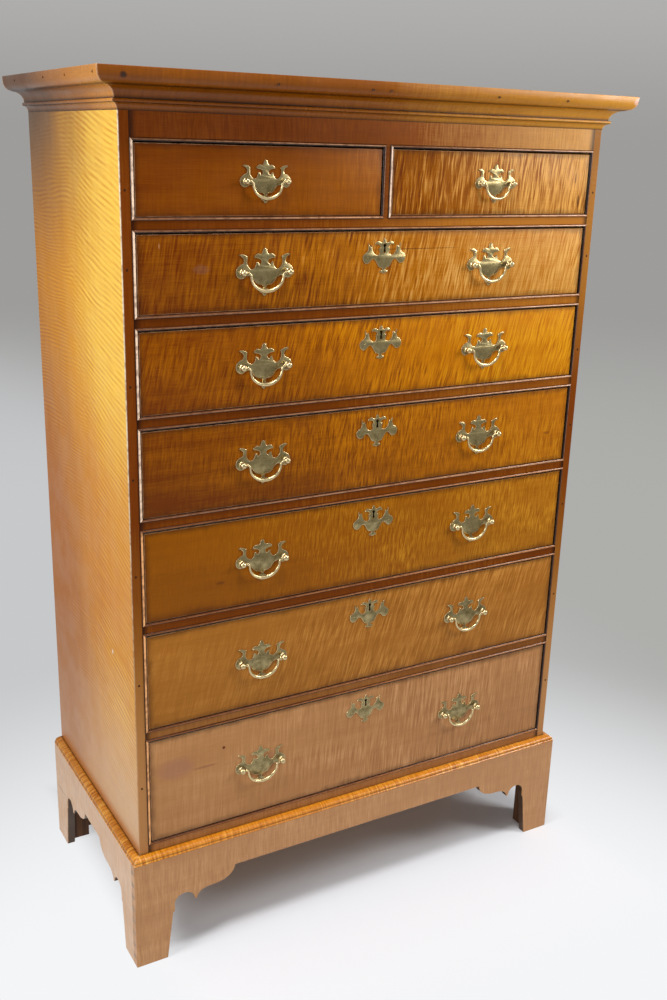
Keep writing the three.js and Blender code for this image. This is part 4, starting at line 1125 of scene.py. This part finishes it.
# Brasses, cast, filed and once polished: pierced plates with bevelled edges, two ball posts to
# a plate screwed through the front, a bail that swings in the posts, and an escutcheon round
# each keyhole, held by two pins. The set on the small drawers is a size smaller.
PLATE_THICK = 0.0018
PLATE_BEVEL = 0.0008
PLATE_WEAR = (0.0, 0.5, 0.9, 0.0)
SHIELD_THICK = 0.0013
POSTS = 0.0406
REACH = 0.011
BALL = 0.0057
BEND = 0.0061
ARM = 0.0282
DROP = 0.029
PIN_RADIUS = 0.0015
ARM_RADIUS = 0.0020
GRIP_RADIUS = 0.0032
SMALL_SHARE = 0.865
PIN_PLACE = (0.0325, -0.0315)
KEY_BELOW_TIP = 0.012
PLATE_BRASS = ((112, 98, 62), (176, 160, 116))
BAIL_BRASS = ((119.56, 104.72, 66.56), (187.39, 170.44, 123.80))
POLISHED = (255, 232, 180)
# Right halves of the plate's and the escutcheon's outlines in millimetres, from the top down.
PLATE_STROKES = [
    [(0, 37.5), (3.2, 34.5), (4.2, 30.5)],
    [(4.2, 30.5), (7, 27.5), (11.5, 28.5), (16, 26.5), (18.9, 22.9)],
    [(18.9, 22.9), (18.5, 21.8), (17.3, 21.8)],
    [(17.3, 21.8), (14, 21.4), (9, 20), (6, 17.5), (6.3, 13.5), (9.5, 11)],
    [(9.5, 11), (11.5, 14.5), (14.8, 15.5), (15.5, 11.5), (17.5, 7), (22, 4.3), (27, 6.5), (30.5, 11.5),
     (31, 18), (29.5, 23.5)],
    [(29.5, 23.5), (33, 25.5), (38.5, 27.6), (43.8, 27.3)],
    [(43.8, 27.3), (44.8, 26.4), (44.2, 25.3)],
    [(44.2, 25.3), (40.5, 24.1), (37, 20.5), (36.8, 14.5), (42, 11.5), (48, 7), (50.4, 0.5), (48.5, -6),
     (43, -10), (37, -9.5), (32.5, -6.5)],
    [(32.5, -6.5), (27, -6), (22, -8.5), (19.5, -12)],
    [(19.5, -12), (16, -16.5), (11, -19.5), (5.5, -20.5), (3, -22.5), (3, -26.5)],
    [(3, -26.5), (7.5, -28.5), (8.5, -31.5), (4.5, -33)],
    [(4.5, -33), (2.5, -36), (0, -38)],
]
SHIELD_STROKES = [
    [(0, 0), (2.4, -2.6), (3.4, -6.2)],
    [(3.4, -6.2), (6.2, -7.6), (9.6, -5.6), (13.3, -5.0), (17.0, -7.0), (18.9, -10.0)],
    [(18.9, -10.0), (18.5, -11.1), (17.3, -10.8)],
    [(17.3, -10.8), (14.6, -9.8), (11.2, -10.6), (8.4, -12.8), (7.4, -15.4)],
    [(7.4, -15.4), (8.8, -15.8), (11.0, -16.6)],
    [(11.0, -16.6), (9.8, -20.2), (9.2, -24.4), (11.2, -27.2), (15.5, -27.6), (19.5, -25.4), (22.6, -21.0),
     (23.8, -16.5), (24.9, -12.4)],
    [(24.9, -12.4), (26.0, -11.5), (27.0, -12.5)],
    [(27.0, -12.5), (28.6, -13.8), (30.2, -9.4)],
    [(30.2, -9.4), (31.4, -8.2), (32.4, -9.4)],
    [(32.4, -9.4), (31.6, -13.6), (31.6, -18.6), (34.2, -22.6), (38.8, -25.4), (42.0, -30.5), (40.6, -36.8),
     (35.8, -41.0), (30.2, -40.6), (26.2, -36.6), (22.6, -33.6)],
    [(22.6, -33.6), (18.6, -34.8), (15.4, -39.0), (12.4, -44.0), (9.2, -47.8)],
    [(9.2, -47.8), (5.4, -48.2), (3.0, -50.0), (3.4, -52.6)],
    [(3.4, -52.6), (5.8, -52.6), (7.9, -54.6), (6.4, -56.8)],
    [(6.4, -56.8), (3.2, -56.6), (0, -58.6)],
]
MILLIMETRE = 0.001


def drawn(strokes, steps=4):
    """Whole outline from the strokes of its right half, in millimetres. A stroke runs through
    its points on cubics whose slope at a point is half the step between its neighbours, and
    strokes meet at corners. The left half is the mirror image."""
    t = np.linspace(0, 1, steps, endpoint=False)[None, :, None]
    curves = []
    for stroke in strokes:
        points = np.array(stroke, float)
        slope = np.gradient(points, axis=0)
        a, b, da, db = points[:-1, None], points[1:, None], slope[:-1, None], slope[1:, None]
        curve = ((2 * t ** 3 - 3 * t ** 2 + 1) * a + (t ** 3 - 2 * t ** 2 + t) * da
                 + (3 * t ** 2 - 2 * t ** 3) * b + (t ** 3 - t ** 2) * db)
        curves.append(curve.reshape(-1, 2))
    right = np.concatenate(curves)
    return np.concatenate([right, strokes[-1][-1:], right[:0:-1] * (-1, 1)]) * MILLIMETRE


def brass(name, seed, shades):
    """Aged brass: yellow metal that has gone olive and brown in patches, polished where the
    surface's values for polish say, with fine casting ripples."""
    material, shader, point = bare_material(name)
    clouds = field(point, 0.012, seed, 4.0)
    tone = field(point, 0.0016, seed + 2.0) * 0.35 + clouds * 0.65
    worn = laid_on(shader, "worn")
    feed(shader, {"Base Color": mixed(worn, ramped(tone, shades, 0.34, 0.66), POLISHED), "Metallic": 1.0,
                  "Roughness": worn * -0.12 + ease(tone, 0.35, 0.65, 0.46, 0.3),
                  "Normal": bumped(clouds, 0.0002, 0.35)})
    return material


def ball_post(share, x, z):
    """Cast post: a flared foot, a thin neck and a ball, turned about a line to the front, with
    its reach measured from the drawer front."""
    angle = np.radians(np.linspace(-66, 86, 15))
    ball = np.stack([BALL * np.cos(angle), REACH + BALL * np.sin(angle)], -1)
    foot = [(0.0044, PLATE_THICK * 0.5), (0.0044, PLATE_THICK + 0.0006), (0.0032, PLATE_THICK + 0.0014)]
    return turned(share * np.array([*foot, *ball, (POINT, REACH + BALL)]), (x, FLAT, z), sides=28)


def bail(share, x, z):
    """Swinging bail: from the left pin round to the right one, each a straight pin in its post, a
    quarter turn down, and between them half an ellipse. The bar swells from the arms to the
    middle of the grip. A collar sits on each arm beside its post."""
    drop = np.radians(np.linspace(0, 180, 49))
    turn = np.radians(np.linspace(0, 90, 9))[:-1]
    turn_x = ARM + BEND - BEND * np.sin(turn)
    turn_z = -BEND + BEND * np.cos(turn)
    turn_thick = PIN_RADIUS + (ARM_RADIUS - PIN_RADIUS) * np.sin(turn)
    thick = ARM_RADIUS + (GRIP_RADIUS - ARM_RADIUS) * np.sin(drop) ** 2
    pin = POSTS + BALL / 2
    xs = np.concatenate([[pin], turn_x, ARM * np.cos(drop), -turn_x[::-1], [-pin]])
    zs = np.concatenate([[0], turn_z, -BEND - (DROP - BEND) * np.sin(drop), turn_z[::-1], [0]])
    radii = np.concatenate([[PIN_RADIUS], turn_thick, thick, turn_thick[::-1], [PIN_RADIUS]])
    path = np.stack([xs, 0 * xs, zs], -1)
    heading = np.gradient(path, axis=0)
    across = np.cross(heading / np.linalg.norm(heading, axis=1)[:, None], (0, 1, 0))
    angle = np.linspace(0, 2 * np.pi, 16, endpoint=False)[None, :, None]
    circle = np.cos(angle) * across[:, None] + np.sin(angle) * np.array([0, 1, 0])
    rings = path[:, None] + radii[:, None, None] * circle
    place = np.array([x, FLAT - share * REACH, z])
    collar = share * np.array([(PIN_RADIUS, -0.0016), (0.0024, -0.0013), (0.0027, 0), (0.0024, 0.0013),
                               (PIN_RADIUS, 0.0016)])
    return [skin(share * rings + place)] + [
        turned(collar, place + (share * side * (ARM + BEND * 0.72), 0, 0), 0, 1, 16) for side in (-1, 1)]


large_plate = drawn(PLATE_STROKES)
shield = drawn(SHIELD_STROKES)
shield_pin = [(0.0014, -0.0004), (0.0014, 0.0003), (0.0009, 0.0008), (POINT, 0.001)]
for order, row in enumerate(ROWS):
    body = f"drawer_{row}"
    low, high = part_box(f"drawer_front_{row}")
    small = row.startswith("row1")
    share = SMALL_SHARE if small else 1.0
    for side in ("",) if small else ("_left", "_right"):
        pull = row + side
        plate_low, plate_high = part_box(f"pull_plate_{pull}")
        x, z = (plate_low.x + plate_high.x) / 2, (low.z + high.z) / 2
        seed = 3.0 * order + len(side)
        outline = share * large_plate + (x, z)
        finish = brass(f"plate_brass_{pull}", seed, PLATE_BRASS)
        rings = eased(outline, FLAT, FLAT - PLATE_THICK, share * PLATE_BEVEL, 2)
        piece(f"plate_{pull}", [skin(rings)], finish, body, "aged_brass", [f"pull_plate_{pull}"],
              fold=24, worn=np.repeat(PLATE_WEAR, len(outline)))
        piece(f"posts_{pull}", [ball_post(share, x + sign * share * POSTS, z) for sign in (-1, 1)], finish,
              body, "aged_brass", fold=40, worn=[0.45])
        piece(f"swing_bail_{pull}", bail(share, x, z), brass(f"bail_brass_{pull}", seed + 1, BAIL_BRASS),
              f"bail_{pull}", "aged_brass", [f"bail_{pull}"], fold=40, worn=[0.5])
    if small:
        continue
    middle, key_z = (low.x + high.x) / 2, high.z - KEY_DROP
    shield_face = FLAT - SHIELD_THICK
    outline = shield + (middle, key_z + KEY_BELOW_TIP)
    hole = keyhole(middle, key_z)
    finish = brass(f"escutcheon_brass_{row}", 50.0 + order, PLATE_BRASS)
    piece(f"escutcheon_{row}", [
        pierced(eased(outline, FLAT, shield_face, PLATE_BEVEL, 2), copies(hole, 1, (FLAT, shield_face))),
    ], finish, body, "aged_brass", fold=24,
        worn=np.append(np.repeat(PLATE_WEAR, len(outline)), np.zeros(2 * len(hole))))
    piece(f"escutcheon_pins_{row}", [
        turned(shield_pin, (middle + dx, shield_face, key_z + KEY_BELOW_TIP + PIN_PLACE[1]), sides=12)
        for dx in (-PIN_PLACE[0], PIN_PLACE[0])
    ], finish, body, "aged_brass", fold=60)

low, high = cad_box
